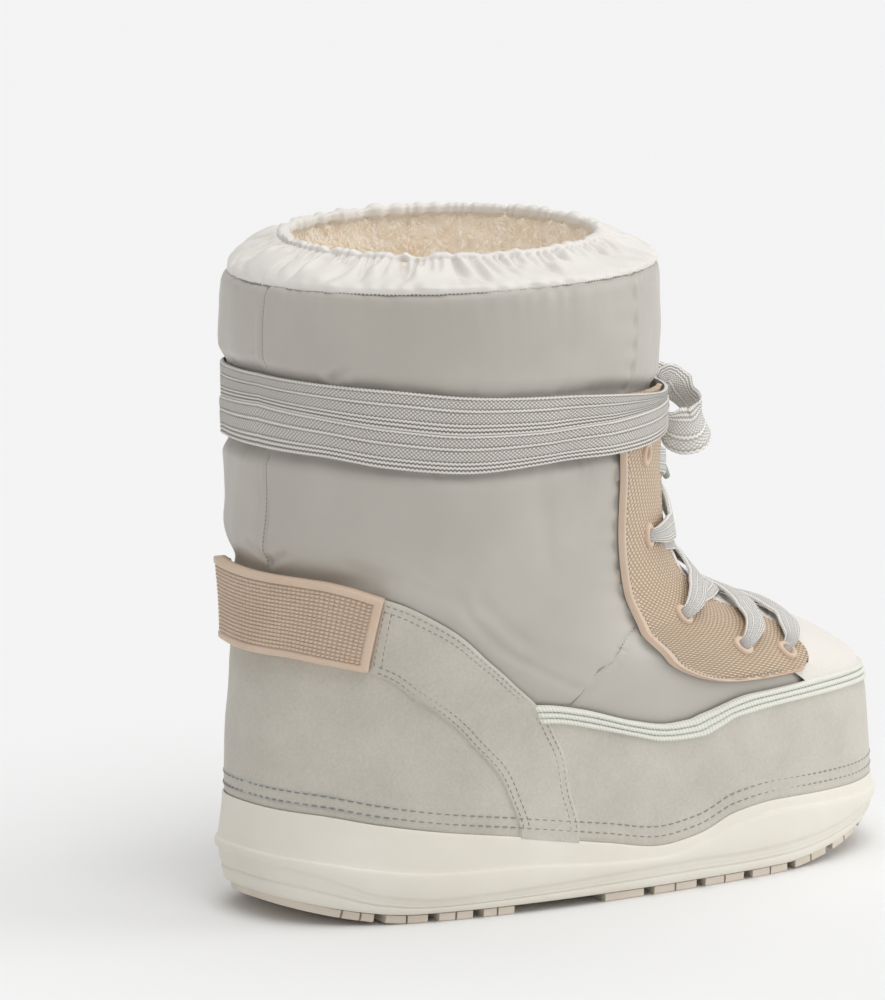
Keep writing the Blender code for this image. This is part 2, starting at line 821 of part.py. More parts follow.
def eyelet_matrix(eyelet, side, out):
    """Frame whose Z axis leaves the skin at an eyelet."""
    turn = eyelet.turn * side
    up = normal(eyelet.height, turn)
    place = Matrix.Translation(skin(eyelet.height, turn, out) * MM)
    return place @ up.to_track_quat("Z", "Y").to_matrix().to_4x4()


def cylinder_mesh(name, radius, depth, sides):
    shape = bmesh.new()
    bmesh.ops.create_cone(shape, cap_ends=True, segments=sides, radius1=radius * MM,
                          radius2=radius * MM, depth=depth * MM)
    mesh = bpy.data.meshes.new(name)
    shape.to_mesh(mesh)
    shape.free()
    return mesh


def make_eyestay(group, cutters, side, label):
    parts = (0.0, 0.09, 0.13, 0.35, 0.57, 0.79, 1.0)
    rise = (2.8, 3.1, 2.4, 2.4, 2.4, 2.4, 2.4)
    grid = section_grid(EYESTAY, parts, side)
    mesh = patch_mesh(label, grid, lambda r, c: EYESTAY_GAP, lambda r, c: rise[c])
    eyestay = add_object(label, mesh, "beige_rubber", group)
    for number, eyelet in enumerate(EYELETS):
        ring_depth = EYELET_RISE - 1.5
        ring_name = f"{label}_ring_{number}"
        ring = add_cutter(ring_name, cylinder_mesh(ring_name, EYELET_RADIUS, ring_depth, 10), cutters,
                          eyelet_matrix(eyelet, side, EYELET_RISE - ring_depth / 2))
        boolean(eyestay, ring, "UNION")
    for number, eyelet in enumerate(EYELETS):
        hole_name = f"{label}_hole_{number}"
        hole = add_cutter(hole_name, cylinder_mesh(hole_name, EYELET_HOLE, 9.0, 8), cutters,
                          eyelet_matrix(eyelet, side, 2.0))
        boolean(eyestay, hole, "DIFFERENCE")
    return eyestay


def make_lace_bar(group, number):
    """Bar from the lateral eyelet over the tongue to the medial eyelet."""
    eyelet = EYELETS[number]
    stations = 13
    centres, normals = [], []
    for station in range(stations):
        part = station / (stations - 1)
        turn = eyelet.turn + (1.0 - 2 * eyelet.turn) * part
        rise = smooth_step(1 - abs(2 * part - 1))
        height = eyelet.height + (eyelet.crown - eyelet.height) * rise
        out = 5.4 + 0.8 * rise
        centres.append(skin(height, turn, out))
        normals.append(normal(height, turn))
    name = f"lace_bar_{number}"
    return add_object(name, ribbon_mesh(name, centres, normals, BAR_WIDTH, BAR_THICK), "lace_braid", group)


def band_seat(turn):
    """Distance of a band's inner face from the skin, more over the eyestays and tongue."""
    return BAND_SEAT + (BAND_OVER_EYESTAY - BAND_SEAT) * smooth_step((folded_turn(turn) - 0.25) / 0.05)


def make_band(group, label, upper_edge, lower_edge):
    def row(share):
        cells = []
        for turn in ring_turns():
            folded = folded_turn(turn)
            top = read_column(BAND_EDGES, "turn", upper_edge, folded)
            bottom = read_column(BAND_EDGES, "turn", lower_edge, folded)
            if upper_edge == "middle":
                top -= GAP
            cells.append((bottom + (top - bottom) * share, turn))
        return cells

    turns = ring_turns()
    mesh = patch_mesh(label, [row(0.0), row(1.0)], lambda r, c: band_seat(turns[c]),
                      lambda r, c: band_seat(turns[c]) + BAND_THICK, closed=True)
    return add_object(label, mesh, "lace_braid", group)


def make_knot(group):
    shape = bmesh.new()
    bmesh.ops.create_uvsphere(shape, u_segments=10, v_segments=6, radius=0.5 * MM)
    bmesh.ops.scale(shape, vec=Vector(KNOT_SIZE), verts=shape.verts)
    bmesh.ops.translate(shape, vec=Vector(KNOT_CENTRE) * MM, verts=shape.verts)
    mesh = bpy.data.meshes.new("lace_knot")
    shape.to_mesh(mesh)
    shape.free()
    return add_object("lace_knot", mesh, "lace_braid", group)


def smooth_route(points, steps):
    """Points of a smooth curve through the route's own points."""
    route = [Vector(point) for point in points]
    ends = [route[0] * 2 - route[1]] + route + [route[-1] * 2 - route[-2]]
    smooth = []
    for index in range(len(route) - 1):
        before, start, end, after = ends[index:index + 4]
        for step in range(steps):
            part = step / steps
            smooth.append(0.5 * (2 * start + (end - before) * part
                                 + (2 * before - 5 * start + 4 * end - after) * part**2
                                 + (3 * start - before - 3 * end + after) * part**3))
    smooth.append(route[-1])
    return smooth


def make_cord(group, name, points, radius, material_name):
    data = bpy.data.curves.new(name, "CURVE")
    data.dimensions = "3D"
    data.bevel_depth = radius * MM
    data.bevel_resolution = 2
    data.use_fill_caps = True
    spline = data.splines.new("POLY")
    spline.points.add(len(points) - 1)
    for spot, point in zip(spline.points, points):
        spot.co = (*(Vector(point) * MM), 1.0)
    data.materials.append(material(material_name))
    item = bpy.data.objects.new(name, data)
    group.objects.link(item)
    return item


def make_bow(group):
    make_knot(group)
    for side, label in ((1, "lateral"), (-1, "medial")):
        def sided(points):
            return [(x, y * side, z) for x, y, z in points]

        make_cord(group, f"lace_loop_{label}", smooth_route(sided(LOOP_ROUTE), 2), CORD_RADIUS, "lace_braid")
        end_route = smooth_route(sided(END_ROUTE), 2)
        make_cord(group, f"lace_end_{label}", end_route, CORD_RADIUS, "lace_braid")
        tip = Vector(sided([AGLET_TIP])[0])
        toward = (tip - end_route[-1]).normalized()
        start = end_route[-1] + toward * GAP
        make_cord(group, f"aglet_{label}", [start, (start + tip) / 2, tip], AGLET_RADIUS, "aglet")


def main():
    clear_scene()
    group = collection("apres_ski_boot")
    cutters = collection("cutters")
    make_outsole(group, cutters)
    make_midsole(group)
    make_insole(group)
    make_upper(group)
    make_collar(group)
    make_counter(group)
    make_wing(group, 1, "wing_lateral")
    make_wing(group, -1, "wing_medial")
    make_rand(group)
    make_piping(group)
    make_vamp_panel(group)
    make_tongue(group)
    make_strap(group)
    make_eyestay(group, cutters, 1, "eyestay_lateral")
    make_eyestay(group, cutters, -1, "eyestay_medial")
    for number in range(1, len(EYELETS)):
        make_lace_bar(group, number)
    make_band(group, "lace_band_upper", "top", "middle")
    make_band(group, "lace_band_lower", "middle", "bottom")
    make_bow(group)


main()
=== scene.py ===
from collections import namedtuple

import bmesh
import bpy
import numpy as np
from mathutils import Matrix, Vector


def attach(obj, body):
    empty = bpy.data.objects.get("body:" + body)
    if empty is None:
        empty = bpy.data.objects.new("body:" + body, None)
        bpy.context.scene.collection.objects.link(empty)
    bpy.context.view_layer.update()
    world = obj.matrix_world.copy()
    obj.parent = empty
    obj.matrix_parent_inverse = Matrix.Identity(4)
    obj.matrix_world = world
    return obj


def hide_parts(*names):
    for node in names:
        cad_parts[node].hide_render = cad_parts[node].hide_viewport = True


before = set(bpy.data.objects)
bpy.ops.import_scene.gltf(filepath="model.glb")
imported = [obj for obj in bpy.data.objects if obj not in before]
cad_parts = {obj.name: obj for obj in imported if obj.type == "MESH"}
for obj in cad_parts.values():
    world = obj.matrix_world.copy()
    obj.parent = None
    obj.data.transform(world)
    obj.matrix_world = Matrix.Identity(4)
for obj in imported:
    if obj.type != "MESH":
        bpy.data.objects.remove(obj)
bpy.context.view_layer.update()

MM = 0.001


def table(kind, *rows):
    """Rows of sizes under the names of their columns."""
    return [kind(*row) for row in rows]

# Camera: the photograph's view of the boot, from behind its lateral side
CAMERA_PLACE = (-1.4460, -1.9747, 0.5509)
CAMERA_TARGET = (-0.0530, 0.0, 0.1478)
CAMERA_LENS = 235.66
CAMERA_SENSOR = 36.0

# The upper's own form, in millimetres
SEAM_HEIGHT = 236.0
TOE_SWING = 7.0
ARCH_PINCH = 0.06
ARCH_PLACE = -25.0
ARCH_REACH = 45.0
AROUND = 480.0
SOLE_LEVEL = 20.0
SHELL_WALL = 6.5
PANEL_TUCK = 0.6
BACK_SEAM_TURN = 0.0069

Level = namedtuple("Level", "height back front half_width widest heel_power toe_power")
LEVELS = table(Level,
    (0, -139.5, 139.5, 59.0, 0.62, 2.65, 2.60), (30, -139.5, 139.5, 59.0, 0.62, 2.65, 2.60),
    (45, -139.5, 140.0, 59.5, 0.60, 2.70, 2.47), (58, -139.2, 140.4, 60.0, 0.58, 2.65, 2.32),
    (70, -138.6, 138.2, 60.7, 0.55, 2.60, 2.13), (80, -137.6, 124.4, 61.7, 0.53, 2.50, 2.00),
    (90, -136.2, 102.8, 63.3, 0.50, 2.40, 1.80), (102, -134.8, 66.4, 65.2, 0.48, 2.20, 1.75),
    (118, -133.6, 46.2, 68.0, 0.46, 2.15, 1.75), (138, -133.8, 37.2, 72.1, 0.45, 2.10, 1.75),
    (165, -134.2, 32.9, 75.8, 0.46, 2.10, 1.80), (195, -134.6, 28.1, 78.0, 0.48, 2.10, 2.00),
    (218, -136.0, 28.0, 78.0, 0.50, 2.10, 2.10), (231, -135.5, 28.0, 77.5, 0.50, 2.10, 2.10),
    (236, -134.0, 27.5, 76.0, 0.50, 2.10, 2.10))

SideLine = namedtuple("SideLine", "place lip ridge step floor")
SIDE_LINES = table(SideLine,
    (-143, 43.6, 27.4, 24.6, 26.5), (-130, 42.4, 25.4, 20.6, 26.0), (-111, 38.4, 21.5, 12.1, 24.8),
    (-89, 34.3, 18.8, 8.9, 22.6), (-55, 29.2, 18.2, 9.8, 18.6), (-20, 23.2, 15.6, 11.0, 14.2),
    (5, 19.2, 14.8, 11.6, 12.6), (22, 21.3, 17.8, 11.9, 12.6), (41, 27.6, 22.8, 11.4, 12.8),
    (60, 29.6, 25.7, 11.6, 13.2), (88, 28.8, 24.4, 13.6, 14.8), (116, 27.8, 23.0, 17.6, 18.4),
    (143, 27.6, 22.6, 19.9, 22.6))

# Underside of the sole
TREAD = 3.5
TREAD_INSET = 4.0
TREAD_SEAT = 2.3
TREAD_GAP = 0.35
HEEL_BEVEL = (-98.0, 45.0, 8.0, 1.6)
TOE_SPRING = (66.0, 72.0, 13.0, 1.5)
GROOVE_SWEEP = 0.14
CHANNEL_SIDE = 17.0
CHANNEL_WIDTH = 4.0
SIPE_WIDTH = 0.8
HEEL_BULGE = 2.0
Groove = namedtuple("Groove", "place width")
GROOVES = table(Groove,
    (-104.5, 4.5), (-84.0, 4.5), (-66.0, 4.5), (-31.0, 40.0), (9.0, 5.0), (33.5, 4.5), (56.5, 4.5),
    (79.0, 4.5), (101.0, 4.5), (121.0, 4.5))
SIPES = [Groove(place, SIPE_WIDTH) for place in
         (-118.0, -111.5, -94.3, -75.0, -58.0, 21.3, 45.0, 67.8, 90.0, 111.0)]

# Edges of the panels, as heights at a turn from the centre back (0) to the centre front (0.5)
EdgePoint = namedtuple("EdgePoint", "turn height")
COUNTER_TOP = table(EdgePoint,
    (0.000, 113.0), (0.104, 112.0), (0.118, 106.0), (0.134, 98.0), (0.150, 90.0), (0.164, 80.0),
    (0.176, 68.0), (0.186, 54.0), (0.1905, 36.0))
RAND_TOP = table(EdgePoint,
    (0.190, 72.7), (0.205, 71.6), (0.222, 67.0), (0.234, 62.4), (0.241, 59.4), (0.248, 58.8),
    (0.260, 61.4), (0.274, 64.4), (0.312, 65.8), (0.360, 65.0), (0.430, 62.8), (0.500, 61.8))
PIPING_TOP = table(EdgePoint,
    (0.190, 79.8), (0.205, 78.6), (0.219, 75.4), (0.236, 68.4), (0.246, 65.4), (0.258, 67.4),
    (0.295, 71.8), (0.336, 71.8), (0.380, 70.8), (0.430, 69.0), (0.500, 68.0))
PANEL_TOP = table(EdgePoint,
    (0.360, 77.4), (0.373, 80.4), (0.385, 84.0), (0.395, 87.4), (0.404, 90.4), (0.411, 92.5),
    (0.500, 92.5))
RAND_START = 0.1880
PIPING_START = 0.1965
COUNTER_END = 0.1905
WING_THICK = 2.15
PANEL_START = 0.360
THROAT_HEIGHT = 91.0
THROAT_TURN = 0.412
TONGUE_TOP = 192.0

Section = namedtuple("Section", "rear_height rear_turn front_height front_turn")
WING = table(Section,
    (95.6, 0.1035, 124.2, 0.1175), (91.8, 0.1215, 121.4, 0.1370), (88.4, 0.1280, 118.0, 0.1510),
    (85.2, 0.1343, 113.4, 0.1665), (81.6, 0.1420, 107.4, 0.1802), (73.4, 0.1540, 96.0, 0.1917),
    (66.4, 0.1613, 84.0, 0.1978), (53.4, 0.1735, 70.0, 0.2030), (42.0, 0.1785, 52.0, 0.2052),
    (32.0, 0.1795, 36.0, 0.2056), (24.0, 0.1795, 20.0, 0.2056))
EYESTAY = table(Section,
    (194.0, 0.325, 192.0, 0.410), (180.0, 0.317, 178.0, 0.410), (167.0, 0.3215, 165.0, 0.410),
    (148.0, 0.324, 146.0, 0.410), (131.0, 0.3235, 130.0, 0.411), (118.0, 0.3195, 119.0, 0.414),
    (106.5, 0.3135, 108.5, 0.415), (98.5, 0.301, 102.0, 0.416), (91.5, 0.287, 98.0, 0.416),
    (86.6, 0.278, 95.2, 0.415), (82.1, 0.275, 92.8, 0.409), (79.2, 0.280, 90.4, 0.402),
    (77.5, 0.292, 87.4, 0.393), (76.1, 0.314, 84.0, 0.383), (75.6, 0.334, 80.4, 0.371),
    (75.4, 0.346, 77.6, 0.358))

Eyelet = namedtuple("Eyelet", "height turn")
EYELETS = table(Eyelet,
    (169.0, 0.356), (136.4, 0.364), (102.9, 0.355), (88.2, 0.340), (82.8, 0.358))
STAY_THICK = 2.3
STAY_LOW = 1.0
STAY_RIM = 2.9
STAY_LENGTH = 190.0
EYELET_LONG = 5.0
EYELET_SHORT = 3.7
EYELET_HOLE = 0.52

BandEdge = namedtuple("BandEdge", "turn top middle bottom")
BAND_EDGES = table(BandEdge,
    (0.000, 202.6, 191.6, 175.2), (0.060, 202.0, 189.8, 175.0), (0.120, 201.0, 187.0, 172.2),
    (0.185, 198.4, 184.6, 170.2), (0.240, 197.2, 184.5, 172.0), (0.290, 196.0, 186.2, 173.4),
    (0.340, 193.4, 187.0, 173.2), (0.385, 191.0, 186.8, 173.6), (0.500, 189.0, 186.0, 176.0))
BAND_SEAT = -0.9
BAND_OVER_EYESTAY = 3.3
LACE_WIDTH = 14.0
LACE_THICK = 2.0
LACE_SPREAD = 1.1

StrapColumn = namedtuple("StrapColumn", "turn bottom top stand_off")
STRAP = table(StrapColumn,
    (0.000, 99.4, 129.8, 2.9), (0.020, 99.6, 129.9, 2.9), (0.042, 99.8, 130.0, 2.9),
    (0.064, 99.2, 129.8, 2.8), (0.086, 98.2, 128.4, 2.6), (0.108, 96.9, 125.6, 2.4),
    (0.114, 96.6, 124.8, 2.4))
STRAP_THICK = 3.6
STRAP_RIM = 3.0
STRAP_RECESS = 1.1
STRAP_SLANT = 0.0155
STUD_HEIGHT = 0.95

# Soft forms of the shaft and the fleece
BAND_PINCH = 2.2
STRAP_PUFF = 1.6
PUFF_HEIGHT = 141.0
PINCH_HEIGHT = 129.0
PLEATS = 118
TUFTS = 17000
TUFT_TOP = 246.0
TUFT_BAND = 66.0

# Collar section, from the seam to its opening
CollarPoint = namedtuple("CollarPoint", "share inward height")
COLLAR = table(CollarPoint,
    (0.00, 1.4, 234.8), (0.03, 0.5, 235.9), (0.08, 0.7, 237.6), (0.16, 2.2, 239.8), (0.28, 5.2, 242.2),
    (0.44, 10.2, 244.7), (0.60, 15.6, 246.7), (0.70, 18.6, 247.9), (0.78, 20.2, 249.6),
    (0.84, 21.8, 249.8), (0.90, 23.2, 248.6), (0.96, 23.4, 246.6), (1.00, 22.2, 245.2))

# Bow: knot, and the routes of the loop and the hanging end on the lateral side
KNOT_CENTRE = (42.4, 0.0, 181.0)
LOOP_ROUTE = [
    (47.0, -3.3, 184.4), (49.9, -4.1, 186.2), (53.6, -5.6, 182.0), (55.4, -9.8, 177.4),
    (56.0, -16.6, 172.6), (51.0, -19.8, 168.2), (45.6, -17.9, 167.6), (42.6, -13.4, 169.6),
    (42.7, -6.9, 177.8)]
END_ROUTE = [
    (42.7, -2.5, 174.3), (42.7, -4.4, 168.5), (41.2, -7.4, 163.2), (39.9, -10.3, 159.6),
    (39.4, -12.2, 157.4)]
AGLET_TIP = (38.4, -18.6, 150.2)
AGLET_RADIUS = 1.7


# Smooth reading of the tables

def read(rows, key, column, at):
    """Monotone cubic reading of one named column of a table, at many places."""
    keys = np.array([getattr(row, key) for row in rows], float)
    values = np.array([getattr(row, column) for row in rows], float)
    at = np.clip(np.asarray(at, float), keys[0], keys[-1])
    chord = np.diff(values) / np.diff(keys)
    product = chord[:-1] * chord[1:]
    total = np.where(product > 0, chord[:-1] + chord[1:], 1.0)
    slopes = np.concatenate([chord[:1], np.where(product > 0, 2 * product / total, 0.0), chord[-1:]])
    index = np.clip(np.searchsorted(keys, at, side="right") - 1, 0, len(keys) - 2)
    step = keys[index + 1] - keys[index]
    part = (at - keys[index]) / step
    return (values[index] * (2 * part**3 - 3 * part**2 + 1)
            + slopes[index] * step * (part**3 - 2 * part**2 + part)
            + values[index + 1] * (3 * part**2 - 2 * part**3)
            + slopes[index + 1] * step * (part**3 - part**2))


def smooth_step(value):
    value = np.clip(value, 0.0, 1.0)
    return value * value * (3 - 2 * value)


def folded(turn):
    """Turn on the lateral half that mirrors a turn on the medial half."""
    turn = np.mod(turn, 1.0)
    return np.where(turn <= 0.5, turn, 1.0 - turn)


def edge_height(edge, turn):
    return read(edge, "turn", "height", folded(turn))


# The upper's surface

def outline(height, turn):
    """Place on the upper's form at a height and a turn."""
    height, turn = np.broadcast_arrays(np.asarray(height, float), np.asarray(turn, float))
    back, front, half_width, widest, heel_power, toe_power = (
        read(LEVELS, "height", name, height) for name in Level._fields[1:])
    along, across = np.cos(2 * np.pi * turn), np.sin(2 * np.pi * turn)
    middle = back + widest * (front - back)
    power = np.where(along >= 0, heel_power, toe_power)
    reach = np.where(along >= 0, middle - back, front - middle)
    x = middle - np.sign(along) * reach * np.abs(along) ** (2 / power)
    y = -np.sign(across) * half_width * np.abs(across) ** (2 / power)
    foot = 1 - smooth_step((height - 50) / 70)
    pinch = 1 - ARCH_PINCH * np.exp(-((x - ARCH_PLACE) / ARCH_REACH) ** 2) * foot
    y = np.where(y > 0, y * pinch, y)
    y = y + foot * TOE_SWING * (np.maximum(x, 0) / 139) ** 2
    return np.stack([x, y, height], axis=-1)


def unit(vectors):
    return vectors / np.maximum(np.linalg.norm(vectors, axis=-1, keepdims=True), 1e-9)


def normal(height, turn):
    height, turn = np.broadcast_arrays(np.asarray(height, float), np.asarray(turn, float))
    around = outline(height, turn + 0.002) - outline(height, turn - 0.002)
    upward = outline(height + 1, turn) - outline(height - 1, turn)
    return unit(np.cross(around, upward))


def skin(height, turn, out):
    """Place that stands off the upper's form by a distance."""
    return outline(height, turn) + normal(height, turn) * np.asarray(out, float)[..., None]


def sole_point(turn, out, height):
    point = skin(SOLE_LEVEL, turn, out)
    point[..., 2] = height
    return point


def sole_x(turn):
    return outline(SOLE_LEVEL, turn)[..., 0]


def side_line(name, x):
    return read(SIDE_LINES, "place", name, x)


def lip_height(turn):
    return side_line("lip", sole_x(turn))


def tucked_foot(turn):
    """Height of a panel's lower edge, just inside the lip of the sole."""
    return lip_height(turn) - PANEL_TUCK


def base_height(x):
    """Lift of the tread's running surface at the heel bevel and the toe spring."""
    start, reach, lift, power = HEEL_BEVEL
    heel = lift * (np.maximum(start - x, 0) / reach) ** power
    start, reach, lift, power = TOE_SPRING
    return heel + lift * (np.maximum(x - start, 0) / reach) ** power


def travelled(route):
    """Distance along a route at each of its points."""
    return np.concatenate([[0], np.cumsum(np.linalg.norm(np.diff(route, axis=0), axis=1))])


def sampled(at, spots, route):
    """Points of a route at distances along it."""
    return np.stack([np.interp(at, spots, route[:, axis]) for axis in range(3)], axis=1)


def crossed(rows, columns):
    """Grids of the row values and of the column values."""
    return np.meshgrid(rows, columns, indexing="ij")


def circle(count):
    return np.linspace(0, 2 * np.pi, count + 1)[:-1]


def quarter_round(share):
    """Rise of a rounded edge from 0 to 1 over a share from 0 to 1."""
    return np.sqrt(np.clip(1 - (1 - np.clip(share, 0, 1)) ** 2, 0, 1))


def even_turns(height, count, start=0.0, end=1.0):
    """Turns whose points lie evenly round a level section."""
    fine = np.linspace(start, end, 4000)
    length = travelled(outline(height, fine))
    return np.interp(np.linspace(0, length[-1], count), length, fine)


def ring_turns(height, count):
    """Even turns of a whole ring, each place once."""
    return even_turns(height, count + 1)[:-1]


def metric(height, turn):
    """Millimetres along the skin for a whole turn and for a millimetre of height."""
    around = np.linalg.norm(outline(height, turn + 0.004) - outline(height, turn - 0.004), axis=-1) / 0.008
    upward = np.linalg.norm(outline(height + 0.5, turn) - outline(height - 0.5, turn), axis=-1)
    return around, upward


def shifted(heights, turns, distance):
    """A line on the skin moved to its left by a distance."""
    around, upward = metric(heights, turns)
    along = np.gradient(turns) * around
    rise = np.gradient(heights) * upward
    size = np.hypot(along, rise)
    return heights + distance * along / size / upward, turns - distance * rise / size / around


# Soft random forms, the same each run

def ripple(u, v, length, seed, waves=9):
    """Smooth noise of about -1 to 1 from plane waves of about one length."""
    random = np.random.default_rng(seed)
    total = np.zeros(np.broadcast(u, v).shape)
    for _ in range(waves):
        angle = random.uniform(0, 2 * np.pi)
        count = 2 * np.pi / (length * random.uniform(0.7, 1.5))
        total += np.sin(count * (np.cos(angle) * u + np.sin(angle) * v) + random.uniform(0, 2 * np.pi))
    return total / np.sqrt(waves)


# Building meshes

def placed(name, data):
    item = bpy.data.objects.new(name, data)
    bpy.context.scene.collection.objects.link(item)
    return item


def finished(name, mesh, material):
    mesh.materials.append(material)
    mesh.shade_smooth()
    item = placed(name, mesh)
    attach(item, "root")
    return item


def plain_mesh(name, points, faces):
    """Mesh from points in millimetres and faces of four corners."""
    mesh = bpy.data.meshes.new(name)
    points = np.reshape(points, (-1, 3)) * MM
    mesh.from_pydata(points.tolist(), [], np.reshape(faces, (-1, 4)).tolist())
    return mesh


def cells(grid):
    """The four corners of each cell of a grid."""
    return np.stack([grid[:-1, :-1], grid[:-1, 1:], grid[1:, 1:], grid[1:, :-1]], axis=2)


def grid_mesh(name, points, closed=False, closed_rows=False, chart=None):
    """Mesh of a grid of points. chart gives each point's place on the cloth in millimetres."""
    rows, columns = points.shape[:2]
    index = np.arange(rows * columns).reshape(rows, columns)
    if closed:
        index = np.concatenate([index, index[:, :1]], axis=1)
    if closed_rows:
        index = np.concatenate([index, index[:1]], axis=0)
    mesh = plain_mesh(name, points, cells(index))
    if chart is not None:
        layer = mesh.uv_layers.new(name="cloth")
        layer.data.foreach_set("uv", cells(chart).reshape(-1).astype(np.float32))
    return mesh


def sheet(name, points, material, body_slot, **options):
    """Piece from a grid of points."""
    return finished(name, grid_mesh(name, points, **options), material)


def joined(name, meshes):
    """One mesh from several."""
    whole = bmesh.new()
    for mesh in meshes:
        whole.from_mesh(mesh)
    mesh = bpy.data.meshes.new(name)
    whole.to_mesh(mesh)
    whole.free()
    return mesh


def capped(mesh, split=False):
    """Closes the ends of a mesh and turns its faces outward."""
    shape = bmesh.new()
    shape.from_mesh(mesh)
    bmesh.ops.holes_fill(shape, edges=[edge for edge in shape.edges if edge.is_boundary])
    if split:
        bmesh.ops.triangulate(shape, faces=[face for face in shape.faces if len(face.verts) > 4])
    bmesh.ops.recalc_face_normals(shape, faces=shape.faces)
    shape.to_mesh(mesh)
    shape.free()
    return mesh


def measured(points):
    """Chart of a grid: distances along its columns and its rows."""
    across = np.linalg.norm(np.diff(points, axis=1), axis=-1)
    upward = np.linalg.norm(np.diff(points, axis=0), axis=-1)
    along = np.concatenate([np.zeros((points.shape[0], 1)), np.cumsum(across, axis=1)], axis=1)
    rise = np.concatenate([np.zeros((1, points.shape[1])), np.cumsum(upward, axis=0)], axis=0)
    return np.stack([along, rise], axis=-1)


# Materials

def tone(code):
    """Linear colour of a six-figure code."""
    shares = [int(code[place:place + 2], 16) / 255 for place in (0, 2, 4)]
    return tuple(share / 12.92 if share <= 0.04045 else ((share + 0.055) / 1.055) ** 2.4
                 for share in shares)


class Finish:
    """A Principled material with helpers for its nodes."""

    def __init__(self, name, colour, roughness, **values):
        self.material = bpy.data.materials.new(name)
        self.material.use_nodes = True
        self.tree = self.material.node_tree
        self.shader = self.tree.nodes["Principled BSDF"]
        self.feed(self.shader, Base_Color=(*tone(colour), 1.0), Roughness=roughness, **values)
        self.place = self.node("TexCoord").outputs["Object"]
        self.relief = None

    def fill(self, socket, value):
        if isinstance(value, bpy.types.NodeSocket):
            self.tree.links.new(value, socket)
        else:
            socket.default_value = value

    def feed(self, node, **values):
        """Sets named inputs of a node to values or to other nodes' outputs."""
        for name, value in values.items():
            self.fill(node.inputs[name.replace("_", " ")], value)
        return node

    def node(self, kind, **values):
        return self.feed(self.tree.nodes.new("ShaderNode" + kind), **values)

    def math(self, operation, first, second=0.0, third=0.0):
        node = self.node("Math")
        node.operation = operation
        for socket, value in zip(node.inputs, (first, second, third)):
            self.fill(socket, value)
        return node.outputs[0]

    def mixed(self, first, first_share, second, second_share):
        """Sum of two values, each times its share."""
        return self.math("ADD", self.math("MULTIPLY", first, first_share),
                         self.math("MULTIPLY", second, second_share))

    def chart(self):
        """The two places on the cloth, in millimetres."""
        layer = self.node("UVMap")
        layer.uv_map = "cloth"
        split = self.node("SeparateXYZ", Vector=layer.outputs["UV"])
        return split.outputs[0], split.outputs[1]

    def noise(self, size, detail=2.0, stretch=(1, 1, 1), roughness=0.5):
        """Noise whose features are about size metres across."""
        mapping = self.node("Mapping", Scale=stretch, Vector=self.place)
        return self.node("TexNoise", Scale=1 / size, Detail=detail, Roughness=roughness,
                         Vector=mapping.outputs[0]).outputs["Fac"]

    def bump(self, height, distance, strength=1.0):
        """Adds relief of a distance in metres."""
        node = self.node("Bump", Strength=strength, Distance=distance, Height=height)
        if self.relief is not None:
            self.feed(node, Normal=self.relief)
        self.relief = node.outputs["Normal"]
        self.feed(self.shader, Normal=self.relief)

    def paint(self, value, *stops):
        """Colours the surface by a value, through stops of a position and a colour."""
        node = self.node("ValToRGB")
        points = node.color_ramp.elements
        while len(points) < len(stops):
            points.new(0.5)
        for point, (position, code) in zip(points, stops):
            point.position = position
            point.color = (*tone(code), 1.0)
        self.fill(node.inputs[0], value)
        self.feed(self.shader, Base_Color=node.outputs["Color"])

    def rough(self, value, low, high):
        node = self.node("MapRange", To_Min=low, To_Max=high, Value=value)
        self.feed(self.shader, Roughness=node.outputs[0])


def nylon(name, light, dark, roughness):
    """Satin shell cloth: faint weave, small slack wrinkles and a soft sheen."""
    finish = Finish(name, light, roughness, Sheen_Weight=0.15, Sheen_Roughness=0.4)
    finish.paint(finish.noise(0.05, 3), (0.3, dark), (0.7, light))
    finish.rough(finish.noise(0.012, 3), roughness - 0.06, roughness + 0.08)
    finish.bump(finish.noise(0.016, 3, (1, 1, 0.6)), 0.0006, 0.35)
    finish.bump(finish.noise(0.0007, 1), 0.00006, 0.35)
    return finish.material


def nubuck(name):
    finish = Finish(name, "CBC6BA", 0.88, Sheen_Weight=0.25, Sheen_Roughness=0.6)
    patch = finish.noise(0.030, 4, roughness=0.6)
    grain = finish.noise(0.0011, 3, roughness=0.7)
    cloudy = finish.mixed(patch, 0.55, grain, 0.45)
    finish.paint(cloudy, (0.34, "BBB6AA"), (0.50, "C6C1B5"), (0.66, "D0CBC0"))
    finish.bump(finish.noise(0.006, 3), 0.0003, 0.3)
    finish.bump(grain, 0.00022, 0.55)
    return finish.material


def rubber(name, light, dark, roughness):
    finish = Finish(name, light, roughness)
    finish.paint(finish.noise(0.02, 4), (0.3, dark), (0.7, light))
    finish.rough(finish.noise(0.004, 3), roughness - 0.05, roughness + 0.08)
    finish.bump(finish.noise(0.0012, 2), 0.00010, 0.3)
    return finish.material


def knurled_rubber(name, pitch):
    """Moulded rubber with a lattice of small lozenges."""
    finish = Finish(name, "D3BBA4", 0.52)
    across, upward = finish.chart()
    lean = finish.math("MULTIPLY", across, 0.577)
    level = finish.math("SUBTRACT", upward, lean)
    raised = []
    for line in (level, finish.mixed(across, 0.82, upward, 0.42)):
        top = finish.math("PINGPONG", finish.math("DIVIDE", line, pitch), 0.5)
        raised.append(finish.math("SMOOTH_MIN", finish.math("MULTIPLY", top, 3.2), 1.0, 0.3))
    stud = finish.math("MULTIPLY", *raised)
    # The grooves between the lozenges are painted darker and the lozenge tops lighter: painted shade and
    # highlight that follow the relief.
    finish.paint(stud, (0.1, "AE957C"), (0.50, "D3BA9F"), (1.0, "E0CBB2"))
    finish.bump(stud, 0.00045, 0.9)
    finish.bump(finish.noise(0.0012, 2), 0.00008, 0.25)
    return finish.material


